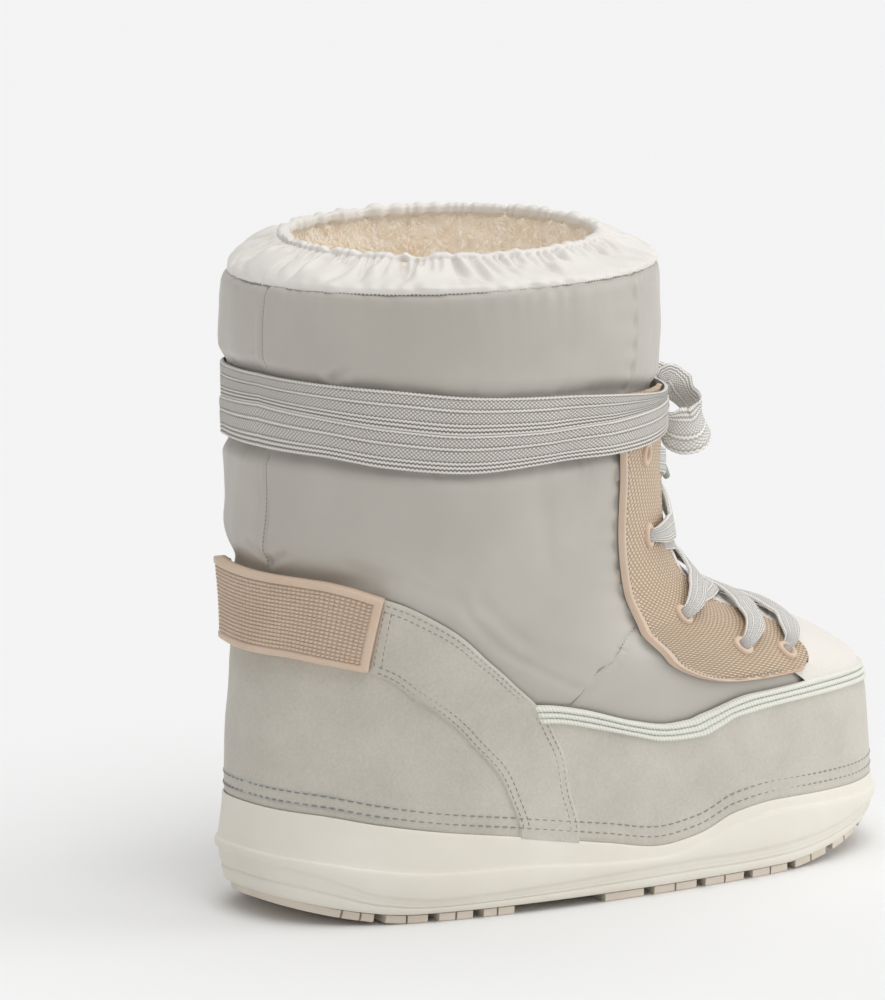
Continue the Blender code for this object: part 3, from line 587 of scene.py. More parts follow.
Rope = namedtuple("Rope", "place half_width")
ROPES = table(Rope, (0.45, 0.55), (4.9, 0.6), (10.1, 0.55), (11.6, 0.55), (13.2, 0.6))


def lace_cloth(name, light, middle, dark, pitch):
    """Flat braided lace: rope ridges along it with lozenge braid between."""
    finish = Finish(name, light, 0.82, Sheen_Weight=0.2)
    math = finish.math
    along, across = finish.chart()
    twist = math("SINE", math("MULTIPLY", along, 2 * np.pi / (1.1 * pitch)))
    wavy = math("ADD", across, math("MULTIPLY", twist, 0.2))
    lean = math("MULTIPLY", along, np.pi / (1.15 * pitch))
    level = math("MULTIPLY", across, np.pi / pitch)
    rise, fall = (math("ABSOLUTE", math("SINE", math(way, lean, level))) for way in ("ADD", "SUBTRACT"))
    height = math("MULTIPLY", math("POWER", math("MULTIPLY", rise, fall), 0.6), 0.75)
    for rope in ROPES:
        away = math("ABSOLUTE", math("SUBTRACT", wavy, rope.place))
        ridge = math("MAXIMUM", math("SUBTRACT", 1.0, math("DIVIDE", away, rope.half_width)), 0.0)
        near = math("LESS_THAN", away, rope.half_width + 0.22)
        inside = math("MULTIPLY", math("POWER", ridge, 0.5), near)
        outside = math("MULTIPLY", height, math("SUBTRACT", 1.0, near))
        height = math("ADD", inside, outside)
    # Colour follows the braid's relief: its gaps are painted dark as shade, its ropes and lozenge tops
    # light as highlight.
    finish.paint(height, (0.0, dark), (0.34, middle), (0.80, light))
    finish.bump(height, 0.00055, 0.9)
    finish.bump(finish.noise(0.0005, 1), 0.00008, 0.3)
    return finish.material


def ribbed_cloth(name, light, dark):
    """Pale stretch cloth with fine ribs that run up it."""
    finish = Finish(name, light, 0.8, Sheen_Weight=0.2)
    along = finish.chart()[0]
    rib = finish.math("SINE", finish.math("MULTIPLY", along, 2 * np.pi / 1.5))
    level = finish.mixed(rib, 0.5, finish.noise(0.0009, 2), 0.8)
    # Rib troughs are painted darker as shade, mixed with random tone from the noise.
    finish.paint(level, (0.0, dark), (0.9, light))
    finish.bump(level, 0.00022, 0.6)
    return finish.material


def pile_cloth(name):
    # The emission is a painted glow: it lifts the fleece where the inside of the shaft lies in shade.
    finish = Finish(name, "F1E0C6", 0.95, Sheen_Weight=0.5, Sheen_Roughness=0.6,
                    Emission_Color=(*tone("FFF1DE"), 1.0), Emission_Strength=0.10)
    tuft = finish.noise(0.0035, 4, (1, 1, 0.5), 0.65)
    mixed = finish.mixed(tuft, 0.7, finish.noise(0.025, 3), 0.3)
    finish.paint(mixed, (0.25, "EEDCC4"), (0.45, "FBF1E2"), (0.70, "FFFDF8"))
    finish.bump(tuft, 0.0012, 0.8)
    return finish.material


def foam(name):
    finish = Finish(name, "E9E5D9", 0.58)
    finish.paint(finish.noise(0.03, 3), (0.3, "E6E1D4"), (0.7, "ECE8DD"))
    finish.rough(finish.noise(0.005, 3), 0.52, 0.66)
    finish.bump(finish.noise(0.0009, 2), 0.00008, 0.35)
    return finish.material


def yarn(name, colour):
    finish = Finish(name, colour, 0.7, Sheen_Weight=0.2)
    finish.bump(finish.noise(0.0004, 1), 0.0001, 0.4)
    finish.rough(finish.noise(0.002, 2), 0.62, 0.8)
    return finish.material


SHAFT = nylon("shaft_nylon_cloth", "C2BDB4", "B8B3AA", 0.44)
# The collar is the shaft's satin nylon in a much lighter copy: painted light for its brightly lit top.
LIT_COLLAR_NYLON = nylon("collar_nylon_cloth", "EDE9E3", "E3DFD8", 0.42)
NUBUCK = nubuck("panel_nubuck")
PIPING_CLOTH = ribbed_cloth("piping_cloth", "EDEDE4", "DFE0D5")
PANEL_CLOTH = ribbed_cloth("panel_stretch_cloth", "F0ECE5", "E2DDD4")
BEIGE_RUBBER = rubber("strap_rubber", "DDC6B0", "D6BDA6", 0.52)
KNURLED = knurled_rubber("eyestay_rubber", 1.95)
# Strands, knot, bow and the wraps round the shaft are one lace: the lighter copy is painted light, the
# darker band copy painted shade.
LACE = lace_cloth("lace_braid_cloth", "FBF9F5", "E6E2DC", "B5AFA6", 1.15)
BAND_LACE = lace_cloth("band_braid_cloth", "EFEBE5", "CAC5BD", "837D74", 1.4)
FOAM = foam("midsole_foam_skin")
TREAD_RUBBER = rubber("tread_rubber_skin", "E6DCCF", "DCD0C0", 0.6)
GLOWING_PILE = pile_cloth("lining_pile")
AGLET = rubber("aglet_film", "A9AB9F", "9DA093", 0.35)
DARK_THREAD = yarn("dark_thread", "8A8C86")
PALE_THREAD = yarn("pale_thread", "B4B6B4")
# Seam thread tinted as the shaft in shade: real stitches whose dark colour is painted shade along the
# seams.
SEAM_THREAD = yarn("seam_thread", "8C877F")


# Creases of the shaft, as lines on the unrolled upper

Crease = namedtuple("Crease", "turn height end_turn end_height width depth")
CREASES = table(Crease,
    (0.0070, 236.0, 0.0068, 206.0, 0.8, 0.8), (0.0068, 174.0, 0.0105, 131.0, 0.8, 0.8),
    (0.0110, 133.0, 0.0300, 137.5, 1.7, 1.2), (0.0100, 134.0, -0.0140, 139.0, 1.7, 1.0),
    (0.0100, 134.0, 0.0170, 143.0, 1.5, 0.8), (0.0720, 204.4, 0.0830, 208.4, 1.9, 1.7),
    (0.0760, 206.0, 0.0620, 210.0, 2.4, 0.6), (0.1420, 129.5, 0.1800, 121.0, 2.6, 0.9),
    (0.1500, 134.0, 0.1960, 119.0, 3.0, 0.7), (0.1840, 118.0, 0.2080, 98.0, 2.2, 0.8),
    (0.1950, 124.0, 0.2200, 104.0, 3.0, 0.6), (0.2110, 96.0, 0.2240, 84.0, 2.0, 0.6),
    (0.1280, 131.0, 0.0900, 136.0, 3.0, 0.8), (0.2400, 165.0, 0.2520, 138.0, 4.0, 0.4),
    (-0.0700, 203.9, -0.0800, 208.0, 2.0, 1.2), (-0.1460, 130.0, -0.1800, 121.0, 2.6, 0.9),
    (-0.1840, 118.0, -0.2080, 98.0, 2.2, 0.7), (-0.2110, 96.0, -0.2240, 84.0, 2.0, 0.6))
VAMP_SEAM = table(Crease,
    (0.3140, 104.6, 0.2760, 97.0, 0.6, 0.8), (0.2760, 97.0, 0.2430, 90.0, 0.6, 0.8),
    (0.2430, 90.0, 0.2140, 76.6, 0.6, 0.8))


def crease_depth(crease, height, turn):
    """Depth of a soft trough along a straight line."""
    across = (np.mod(turn - crease.turn + 0.5, 1.0) - 0.5) * AROUND
    upward = height - crease.height
    run = (crease.end_turn - crease.turn) * AROUND
    rise = crease.end_height - crease.height
    part = np.clip((across * run + upward * rise) / (run * run + rise * rise), 0, 1)
    away = np.hypot(across - part * run, upward - part * rise)
    return crease.depth * np.exp(-(away / crease.width) ** 2)


def shaft_relief(height, turn):
    """Puffs and troughs of the padded shaft, in millimetres off the upper's form."""
    around = turn * AROUND
    free = smooth_step((height - 78) / 22)
    relief = 0.45 * free * ripple(around, height * 0.7, 75.0, 3)
    relief += 0.12 * free * ripple(around, height, 16.0, 4)
    side = folded(turn)
    top, bottom = (read(BAND_EDGES, "turn", name, side) for name in ("top", "bottom"))
    middle, half = (top + bottom) / 2, (top - bottom) / 2
    away = np.abs(height - middle) - half
    beyond = np.maximum(away, 0)
    pinch = np.where(away < 0, -BAND_PINCH, -BAND_PINCH + 3.2 * smooth_step(away / 7.0))
    relief += pinch * np.exp(-beyond / 22)
    tucks = np.abs(ripple(around, height * 0.12, 9.0, 8))
    relief -= 0.5 * tucks * np.exp(-np.maximum(SEAM_HEIGHT - height, 0) / 7.0)
    relief -= 0.35 * tucks * np.exp(-beyond / 5.0) * (away > 0)
    over_strap = np.exp(-((height - PUFF_HEIGHT) / 8.5) ** 2) * (1 - smooth_step((side - 0.10) / 0.03))
    pinched = np.exp(-((height - PINCH_HEIGHT) / 4.5) ** 2) * (1 - smooth_step((side - 0.108) / 0.02))
    relief += STRAP_PUFF * over_strap - STRAP_PUFF * pinched
    upright = [row for row in reversed(EYESTAY) if row.rear_height > 80]
    beside = (read(upright, "rear_height", "rear_turn", height) - side) * AROUND
    pulls = 0.5 + 0.5 * np.sin(2 * np.pi * height / 9.5 + 1.4 * np.sin(height / 11.0))
    relief -= (beside > 0) * (0.3 + 0.9 * pulls) * np.exp(-np.abs(beside) / 5.0) * free
    over_piping = np.maximum(height - edge_height(PIPING_TOP, turn), 0)
    relief -= 0.9 * np.exp(-over_piping / 3.0) * (side > RAND_START)
    for crease in CREASES:
        relief -= crease_depth(crease, height, turn)
        puff = crease._replace(width=crease.width * 3.2)
        relief += 0.42 * crease_depth(puff, height, turn)
    for crease in VAMP_SEAM:
        for sign in (1, -1):
            mirrored = crease._replace(turn=crease.turn * sign, end_turn=crease.end_turn * sign)
            relief -= crease_depth(mirrored, height, turn)
    rolled = smooth_step((height - (SEAM_HEIGHT - 2.2)) / 2.2)
    return relief - 1.3 * rolled ** 2


def make_upper():
    """Outer shell of the shaft and vamp."""
    turns = ring_turns(150.0, 400)
    low = np.linspace(30, 66, 7)[:-1]
    heights = np.concatenate([low, np.linspace(66, 130, 66)[:-1], np.linspace(130, SEAM_HEIGHT, 126)])
    grid_height, grid_turn = crossed(heights, turns)
    points = tipped(skin(grid_height, grid_turn, shaft_relief(grid_height, grid_turn)))
    shell = sheet("shaft_shell", points, SHAFT, "shaft_nylon", closed=True)
    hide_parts("upper")


# Collar

def collar_section(turn, share):
    edge = outline(SEAM_HEIGHT, turn)
    outward = normal(SEAM_HEIGHT - 8, turn)
    outward[..., 2] = 0
    outward = unit(outward)
    point = edge - outward * read(COLLAR, "share", "inward", share)[..., None]
    point[..., 2] = read(COLLAR, "share", "height", share)
    return point


def tipped(points):
    """The shaft's top edge rises a little towards the toe."""
    part = smooth_step((points[..., 2] - 205.0) / 30.0)
    points = points.copy()
    high = smooth_step((points[..., 2] - 236.0) / 9.0)
    points[..., 2] += part * (3.6 * (points[..., 0] + 134.0) / 162.0 - 0.4)
    points[..., 2] += high * (2.3 * points[..., 1] / 60.0 - 0.8)
    return points


def make_collar():
    """Gathered collar: pleats fan out from the elastic towards the seam."""
    turns = ring_turns(SEAM_HEIGHT, 780)
    shares = np.concatenate([np.linspace(0, 0.1, 6)[:-1], np.linspace(0.1, 1, 62)])
    share, turn = crossed(shares, turns)
    points = collar_section(turn, share)
    around = np.roll(points, -1, axis=1) - np.roll(points, 1, axis=1)
    outward = unit(np.cross(around, np.gradient(points, axis=0)))
    random = np.random.default_rng(11)
    relief = np.zeros(share.shape)
    down = np.clip((0.78 - share) / 0.78, 0, 1)
    for number in range(PLEATS):
        middle = (number + random.uniform(-0.4, 0.4)) / PLEATS
        reach = random.choice([random.uniform(0.30, 0.55), random.uniform(0.65, 1.05)])
        depth = random.uniform(0.9, 2.5)
        lean = random.uniform(-0.020, 0.020)
        wide = random.uniform(0.55, 1.1)
        place = (np.mod(turn - middle - lean * down**1.2 + 0.5, 1.0) - 0.5) * AROUND
        width = wide + 2.2 * down * wide
        fade = 1 - smooth_step((down - reach * 0.5) / (reach * 0.55))
        fade = fade * (1 - smooth_step((share - 0.66) / 0.12))
        relief -= depth * fade * np.exp(-np.abs(place / width) ** 1.5)
        relief += 0.45 * depth * fade * np.exp(-((place - 2.2 * width) / (1.6 * width)) ** 2)
    casing = smooth_step((share - 0.72) / 0.06)
    bunch = 0.6 + 0.4 * np.sin(turn * 2 * np.pi * 19 + 1.3)
    far = 0.45 + 0.55 * smooth_step((points[..., 1] + 20.0) / 50.0)
    wander = 2.6 * np.sin(turn * 2 * np.pi * 17)
    ruffles = smooth_step(0.5 + 0.5 * np.sin(turn * np.pi * 158 + wander + 2 * share)) - 0.55
    relief += 0.75 * casing * ruffles * bunch * far
    relief += 0.5 * casing * ripple(turn * AROUND, share * 4, 9.0, 23)
    relief -= 0.9 * far * np.exp(-((share - 0.715) / 0.018) ** 2)
    near_seam = np.exp(-((share - 0.12) / 0.10) ** 2)
    relief += 0.5 * near_seam * ripple(turn * AROUND, share * 12, 7.0, 21)
    relief += 0.7 * ripple(turn * AROUND, share * 30, 24.0, 22) * np.sin(np.pi * share)
    relief *= smooth_step(share / 0.07)
    points = tipped(points + outward * relief[..., None])
    collar = sheet("gathered_collar", points, LIT_COLLAR_NYLON, "collar_nylon", closed=True)
    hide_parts("collar")


# Pile lining

LiningLevel = namedtuple("LiningLevel", "height depth")
LINING = table(LiningLevel,
    (30, 9.0), (60, 10.0), (120, 13.0), (190, 17.0), (225, 18.5), (238, 20.5), (247, 22.2))


def lining_point(height, turn, rise=0.0):
    depth = read(LINING, "height", "depth", height) + rise
    level = np.minimum(height, SEAM_HEIGHT - 1)
    point = skin(level, turn, -depth)
    point[..., 2] = height
    return tipped(point)


def pile_rise(height, turn):
    """Clumps of the fleece."""
    around = turn * AROUND * 0.8
    bend = 2.5 * ripple(around, height, 14.0, 31)
    clumps = ripple(around + bend, height * 0.6 + bend, 7.0, 32) * 0.7
    strands = ripple(around * 1.6 + bend * 1.4, height * 0.45, 2.6, 33) * 0.35
    return clumps + strands


def make_lining():
    """Fleece inside the shaft, from the footbed to the collar's opening."""
    turns = ring_turns(200.0, 320)
    heights = np.concatenate([np.linspace(26, 150, 14)[:-1], np.linspace(150, 247, 64)])
    height, turn = crossed(heights, turns)
    points = lining_point(height, turn, pile_rise(height, turn))
    sheet("pile_lining", points[::-1], GLOWING_PILE, "footbed_pile", closed=True)


def make_tufts():
    """Curled strands that stand off the lining's upper part."""
    random = np.random.default_rng(5)
    count = TUFTS
    turn = random.uniform(0, 1, count)
    height = TUFT_TOP - TUFT_BAND * random.uniform(0, 1, count) ** 1.2
    root = lining_point(height, turn, pile_rise(height, turn) - 0.4)
    inward = -normal(np.minimum(height, 230), turn)
    across = unit(np.cross(inward, np.array([0, 0, 1.0])))
    swirl = ripple(turn * AROUND, height, 18.0, 41) * 1.6 + random.normal(0, 0.35, count)
    lying = unit(across * np.sin(swirl)[:, None] + np.array([0, 0, -1.0]) * np.cos(swirl)[:, None])
    length = random.uniform(1.8, 3.4, count)
    width = random.uniform(0.28, 0.5, count)
    side = unit(np.cross(lying, inward))
    rings = []
    for part, lift, wide in ((0.0, 0.0, 0.8), (0.4, 0.95, 1.0), (0.75, 1.05, 0.7), (1.0, 0.55, 0.12)):
        centre = root + lying * (length * part)[:, None] + inward * (lift * length * 0.30)[:, None]
        rings.append(centre - side * (width * wide)[:, None])
        rings.append(centre + side * (width * wide)[:, None])
    points = np.stack(rings, axis=1)
    corners = cells(np.arange(len(rings)).reshape(-1, 2)).reshape(-1, 4)
    faces = np.arange(count)[:, None, None] * len(rings) + corners[None]
    finished("pile_tufts", plain_mesh("pile_tufts", points, faces), GLOWING_PILE)


def make_insole():
    """Footbed in rings that close towards the middle."""
    share, turn = crossed(np.linspace(1, 0.02, 26), ring_turns(SOLE_LEVEL, 180))
    points = sole_point(turn, -SHELL_WALL - 0.6, 0.0)
    middle = -20.0
    points[..., 0] = middle + (points[..., 0] - middle) * share
    points[..., 1] *= share
    floor_level = side_line("floor", points[..., 0]) + TREAD_GAP
    edge = smooth_step((1 - share) / 0.06)
    points[..., 2] = floor_level + 4.0 * edge + 0.5 * ripple(points[..., 0], points[..., 1], 6.0, 51) * edge
    insole = sheet("footbed", points, GLOWING_PILE, "footbed_pile", closed=True)
    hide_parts("insole")


# Sole

# Section of the cup: how far out, and a height as a level, a share of the span there and a lift
CupPoint = namedtuple("CupPoint", "out level share lift")
CUP = table(CupPoint,
    (-TREAD_INSET, "foot", 0, TREAD_SEAT), (-TREAD_INSET, "foot", 0, 0), (-0.6, "foot", 0, -0.05),
    (0.5, "foot", 0, 0.1), (1.2, "foot", 0, 0.45), (1.7, "foot", 0.16, 0.3), (1.95, "foot", 0.34, 0),
    (1.95, "foot", 0.44, 0), (1.60, "foot", 0.47, 0), (1.60, "foot", 0.50, 0), (2.05, "foot", 0.53, 0),
    (2.20, "foot", 0.64, 0), (2.10, "foot", 0.67, 0), (2.25, "foot", 0.70, 0), (2.35, "foot", 0.84, 0),
    (2.40, "step", 0, -0.35), (2.60, "step", 0, -0.05), (3.10, "step", 0, 0.20),
    (3.40, "step", 0.10, 0.2), (3.60, "step", 0.30, 0), (3.70, "step", 0.50, 0),
    (3.70, "step", 0.70, 0), (3.60, "body_top", -0.12, -0.2), (3.42, "ridge", 0, -0.25),
    (3.05, "ridge", 0, 0.02), (2.70, "ridge", 0, 0.12), (2.52, "ridge", 0, 0.30),
    (2.45, "ridge", 0.12, 0), (2.35, "ridge", 0.35, 0), (2.25, "ridge", 0.60, 0),
    (2.15, "ridge", 0.85, 0), (2.10, "lip", 0, -0.45), (1.95, "lip", 0, -0.12), (1.65, "lip", 0, 0),
    (1.30, "lip", 0, -0.08), (1.05, "lip", 0, -0.50), (0.95, "lip", 0, -1.60))


def make_midsole():
    """Cup of the sole, row by row from the foot edge to the lip and over it."""
    turns = ring_turns(SOLE_LEVEL, 440)
    x = sole_x(turns)
    foot = base_height(x) + TREAD
    step, ridge, lip = (side_line(name, x) for name in ("step", "ridge", "lip"))
    levels = {"foot": (foot, step - foot), "step": (step, ridge - step), "body_top": (ridge, ridge - step),
              "ridge": (ridge, lip - ridge), "lip": (lip, 0)}
    at_lip = np.clip(np.linspace(-1.0, 1.0, len(CUP)), 0, 1)
    heel = smooth_step((-70.0 - x) / 60.0)
    rows = []
    for point, share in zip(CUP, at_lip):
        level, span = levels[point.level]
        height = level + point.share * span + point.lift
        out = point.out + HEEL_BULGE * heel * np.exp(-((height - 24.0) / 13.0) ** 2)
        high = skin(np.maximum(height, LEVELS[1].height), turns, out)
        high[..., 2] = height
        rows.append(sole_point(turns, out, height) * (1 - share) + high * share)
    midsole = sheet("midsole_cup", np.array(rows), FOAM, "midsole_foam", closed=True)
    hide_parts("midsole")


def groove_mesh(name, width):
    """A swept V of the groove's width, reaching past both sides of the sole."""
    reach, top, bottom = 80.0, TREAD, -12.0
    back = reach * GROOVE_SWEEP
    half = width / 2
    plan = [(-back - half, -reach), (-back + half, -reach), (half, 0),
            (-back + half, reach), (-back - half, reach), (-half, 0)]
    count = len(plan)
    points = [(x, y, level) for level in (bottom, top) for x, y in plan]
    faces = [(i, (i + 1) % count, count + (i + 1) % count, count + i) for i in range(count)]
    faces += [(0, 5, 2, 1), (5, 4, 3, 2), (6, 7, 8, 11), (11, 8, 9, 10)]
    return plain_mesh(name, points, faces)


def channel_mesh(name):
    shape = bmesh.new()
    bmesh.ops.create_cube(shape, size=1.0)
    bmesh.ops.scale(shape, vec=Vector((150.0, CHANNEL_WIDTH, 5.0)) * MM, verts=shape.verts)
    mesh = bpy.data.meshes.new(name)
    shape.to_mesh(mesh)
    shape.free()
    return mesh


def moved(x, y, z):
    return Matrix.Translation(Vector((x, y, z)) * MM)


def make_outsole():
    """Tread with its lugs, channels and thin sipes."""
    turns = ring_turns(SOLE_LEVEL, 200)
    base = base_height(sole_x(turns))
    rings = [
        (-TREAD_INSET - TREAD_GAP, base + TREAD + TREAD_SEAT - TREAD_GAP),
        (-TREAD_INSET - TREAD_GAP, base + TREAD - TREAD_GAP),
        (-0.2, base + TREAD - TREAD_GAP),
        (-0.5, base + 0.5),
        (-1.0, base),
    ]
    points = np.array([sole_point(turns, out, height) for out, height in rings])
    mesh = capped(grid_mesh("tread", points[::-1], closed=True), split=True)
    tread = finished("tread", mesh, TREAD_RUBBER)
    cutters = []
    for groove in GROOVES + SIPES:
        slope = (base_height(groove.place + 1) - base_height(groove.place - 1)) / 2
        cutter = placed("groove", groove_mesh("groove", groove.width))
        cutter.matrix_world = (moved(groove.place, 0, float(base_height(groove.place)))
                               @ Matrix.Rotation(-np.arctan(slope), 4, "Y"))
        cutters.append(cutter)
    for side in (-1, 1):
        cutter = placed("channel", channel_mesh("channel"))
        cutter.matrix_world = moved(-10.0, side * CHANNEL_SIDE, 0.4)
        cutters.append(cutter)
    for cutter in cutters:
        modifier = tread.modifiers.new(cutter.name, "BOOLEAN")
        modifier.operation = "DIFFERENCE"
        modifier.solver = "EXACT"
        modifier.object = cutter
    cut = bpy.data.meshes.new_from_object(tread.evaluated_get(bpy.context.evaluated_depsgraph_get()))
    tread.modifiers.clear()
    tread.data = cut
    cut.shade_flat()
    cut.set_sharp_from_angle(angle=0.5)
    for cutter in cutters:
        bpy.data.objects.remove(cutter, do_unlink=True)
    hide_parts("outsole")


# Panels of the upper

def plate(name, height, turn, rise, material, body_slot, charted=False, mirrored=False):
    """Panel on the skin from grids of height, turn and rise."""
    points = skin(height, -turn if mirrored else turn, rise)
    if mirrored:
        points = points[:, ::-1]
    chart = measured(points) if charted else None
    return sheet(name, points, material, body_slot, chart=chart)


def edge_profile(share, thick, inner, edge):
    """Rise across a panel whose two edges roll down to its inner face."""
    return inner + (thick - inner) * quarter_round(np.minimum(share, 1 - share) / edge)


def make_counter():
    share, turn = crossed(np.linspace(0, 1, 50), np.linspace(-COUNTER_END, COUNTER_END, 220))
    low = tucked_foot(turn)
    height = low + (edge_height(COUNTER_TOP, turn) - low) * share
    rise = 1.5 + 0.12 * ripple(turn * AROUND, height, 30.0, 61)
    rise = np.where(share < 0.01, 0.9, rise)
    rise = rise - 0.7 * smooth_step((share - 0.985) / 0.015)
    panel = plate("heel_counter_panel", height, turn, rise, NUBUCK, "nubuck")
    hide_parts("heel_counter")


def edge_marks(sections, along):
    """Places among the sections, evenly spaced along the band's middle line."""
    middle = [((row.rear_turn + row.front_turn) / 2 * AROUND, (row.rear_height + row.front_height) / 2)
              for row in sections]
    spots = travelled(np.array(middle))
    return np.interp(along * spots[-1], spots, np.arange(len(sections)))


def mark_places(route, marks):
    """Shares of an edge's length at places among its sections."""
    spots = travelled(np.array(route, float))
    return np.interp(marks, np.arange(len(route)), spots / spots[-1])


def band_grid(sections, along, across):
    """Heights and turns between the two ends of a band's sections."""
    count, reach = 400, 18
    window = np.ones(2 * reach + 1) / (2 * reach + 1)
    ends = {}
    for edge in ("rear", "front"):
        route = [(getattr(row, edge + "_turn") * AROUND, getattr(row, edge + "_height"), 0)
                 for row in sections]
        spine = smooth_route(route, count)
        longer = np.concatenate([np.repeat(spine[:1], reach, 0), spine, np.repeat(spine[-1:], reach, 0)])
        away = np.minimum(np.arange(count), np.arange(count)[::-1])[:, None] / reach
        mean = np.stack([np.convolve(longer[:, axis], window, "valid") for axis in range(3)], axis=1)
        spine = spine + (mean - spine) * np.clip(away, 0, 1)
        spots = np.linspace(0, 1, count)
        at = mark_places(route, edge_marks(sections, along))
        ends[edge] = np.interp(at, spots, spine[:, 1]), np.interp(at, spots, spine[:, 0]) / AROUND
    (rear_height, rear_turn), (front_height, front_turn) = ends["rear"], ends["front"]
    return (rear_height + (front_height - rear_height) * across,
            rear_turn + (front_turn - rear_turn) * across)


def make_wing(label, mirrored):
    along, across = crossed(np.linspace(1, 0, 130), np.linspace(0, 1, 44))
    height, turn = band_grid(WING, along, across)
    height = np.maximum(height, tucked_foot(turn))
    rise = edge_profile(across, WING_THICK, 1.1, 0.03) + 0.1 * ripple(turn * AROUND, height, 20.0, 62)
    rise = rise - smooth_step((0.016 - along) / 0.016)
    rise = np.where(along > 0.995, 0.9, rise)
    wing = plate(f"{label}_panel", height, turn, rise, NUBUCK, "nubuck", mirrored=mirrored)
    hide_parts(label)


def toe_turns(count):
    return even_turns(62.0, count, RAND_START, 1 - RAND_START)


def make_rand():
    share, turn = crossed(np.linspace(0, 1, 34), toe_turns(380))
    low = tucked_foot(turn)
    high = edge_height(RAND_TOP, turn) + 0.6
    height = low + (high - low) * share
    rise = 1.6 + 0.12 * ripple(turn * AROUND, height, 32.0, 63)
    rise = np.where(share < 0.01, 0.9, rise)
    panel = plate("toe_rand_panel", height, turn, rise, NUBUCK, "nubuck")
    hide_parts("toe_rand")


def make_piping():
    """Three round ribs side by side."""
    share, turn = crossed(np.linspace(0, 1, 28), toe_turns(380))
    low = edge_height(RAND_TOP, turn) - 0.1
    high = edge_height(PIPING_TOP, turn) + 0.2
    height = low + (high - low) * share
    rib = np.abs(np.sin(np.pi * np.clip(share, 0.001, 0.999) * 3)) ** 0.55
    rise = 1.3 + (0.2 + 1.5 * rib) * smooth_step((folded(turn) - PIPING_START) / 0.002)
    rise = np.where((share < 0.005) | (share > 0.995), 0.4, rise)
    panel = plate("piping_ribs", height, turn, rise, PIPING_CLOTH, "mint_piping", charted=True)
    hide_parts("piping")


def make_vamp_panel():
    turns = even_turns(80.0, 200, PANEL_START - 0.022, 1 - PANEL_START + 0.022)
    share, turn = crossed(np.linspace(0, 1, 44), turns)
    low = edge_height(PIPING_TOP, turn) - 0.6
    height = low + (edge_height(PANEL_TOP, turn) - low) * share
    rise = 1.2 + 0.25 * ripple(turn * AROUND, height, 40.0, 64)
    panel = plate("toe_panel", height, turn, rise, PANEL_CLOTH, "pale_panel", charted=True)
    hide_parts("vamp_panel")


def make_tongue():
    columns = 90
    turns = np.linspace(THROAT_TURN - 0.012, 1.012 - THROAT_TURN, columns)
    height, turn = crossed(np.linspace(THROAT_HEIGHT, TONGUE_TOP, 110), turns)
    puff = np.sqrt(np.clip(1 - np.linspace(-1, 1, columns)[None, :]**4, 0, 1))
    along = (height - THROAT_HEIGHT) / (TONGUE_TOP - THROAT_HEIGHT)
    ends = smooth_step(along / 0.12) * smooth_step((1 - along) / 0.04)
    rise = 0.5 + 1.7 * puff * ends + 0.3 * ripple(turn * AROUND, height, 18.0, 65) * puff * ends
    tongue = plate("tongue_pad", height, turn, rise, PANEL_CLOTH, "pale_panel", charted=True)
    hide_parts("tongue")


# Eyestays

def eyelet_frame(eyelet, side):
    turn = eyelet.turn * side
    up = normal(eyelet.height, turn)
    rising = outline(eyelet.height + 1, turn) - outline(eyelet.height - 1, turn)
    rising = unit(rising - up * np.dot(rising, up))
    return outline(eyelet.height, turn), np.cross(rising, up), rising, up


def make_eyestay(label, side):
    along, across = crossed(np.linspace(1, 0, 300), np.linspace(0, 1, 74))
    height, turn = band_grid(EYESTAY, along, across)
    around = metric(height, turn)[0]
    width = np.abs(np.diff(turn, axis=1)).sum(axis=1, keepdims=True) * around.mean(axis=1, keepdims=True)
    from_rear = across * width
    from_front = (1 - across) * width
    rim = np.clip(from_rear / STAY_RIM, 0, 1)
    swell = STAY_LOW + STAY_THICK * np.sqrt(np.clip(np.sin(np.pi * rim ** 0.9), 0, 1))
    rise = np.where(from_rear < STAY_RIM, np.maximum(swell, STAY_LOW), STAY_THICK)
    rise = rise + 0.5 * np.exp(-((from_front - 0.9) / 0.5) ** 2)
    rise = np.where(from_front < 0.35, STAY_LOW, rise)
    rise = np.where((along * STAY_LENGTH < 0.8) | (along > 0.998), STAY_LOW, rise)
    points = skin(height, turn * side, rise)
    for eyelet in EYELETS:
        place, sideways, rising, up = eyelet_frame(eyelet, side)
        offset = points - place
        inside = np.hypot((offset @ sideways) / EYELET_SHORT, (offset @ rising) / EYELET_LONG)
        pit = smooth_step((0.62 - inside) / 0.12) * (np.abs(offset @ up) < 8)
        points = points - up * (pit * 3.4)[..., None]
    levels = np.linspace(70, 200, 261)
    chart = np.stack([turn * 520.0, np.interp(height, levels, travelled(skin(levels, 0.37, 0.0)))], axis=-1)
    plain = from_rear < 4.0
    chart[..., 0] = np.where(plain, 0.0, chart[..., 0])
    smooth_faces = plain[:-1, :-1] | plain[1:, 1:]
    if side < 0:
        points, chart, smooth_faces = points[:, ::-1], chart[:, ::-1], smooth_faces[:, ::-1]
    stay = finished(f"{label}_plate", grid_mesh(label, points, chart=chart), KNURLED)
    stay.data.materials.append(BEIGE_RUBBER)
    stay.data.polygons.foreach_set("material_index", smooth_faces.reshape(-1).astype(np.int32))
    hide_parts(label)
    rings = joined(f"{label}_eyelets", [eyelet_ring(eyelet, side) for eyelet in EYELETS])
    finished(f"{label}_eyelets", rings, BEIGE_RUBBER)


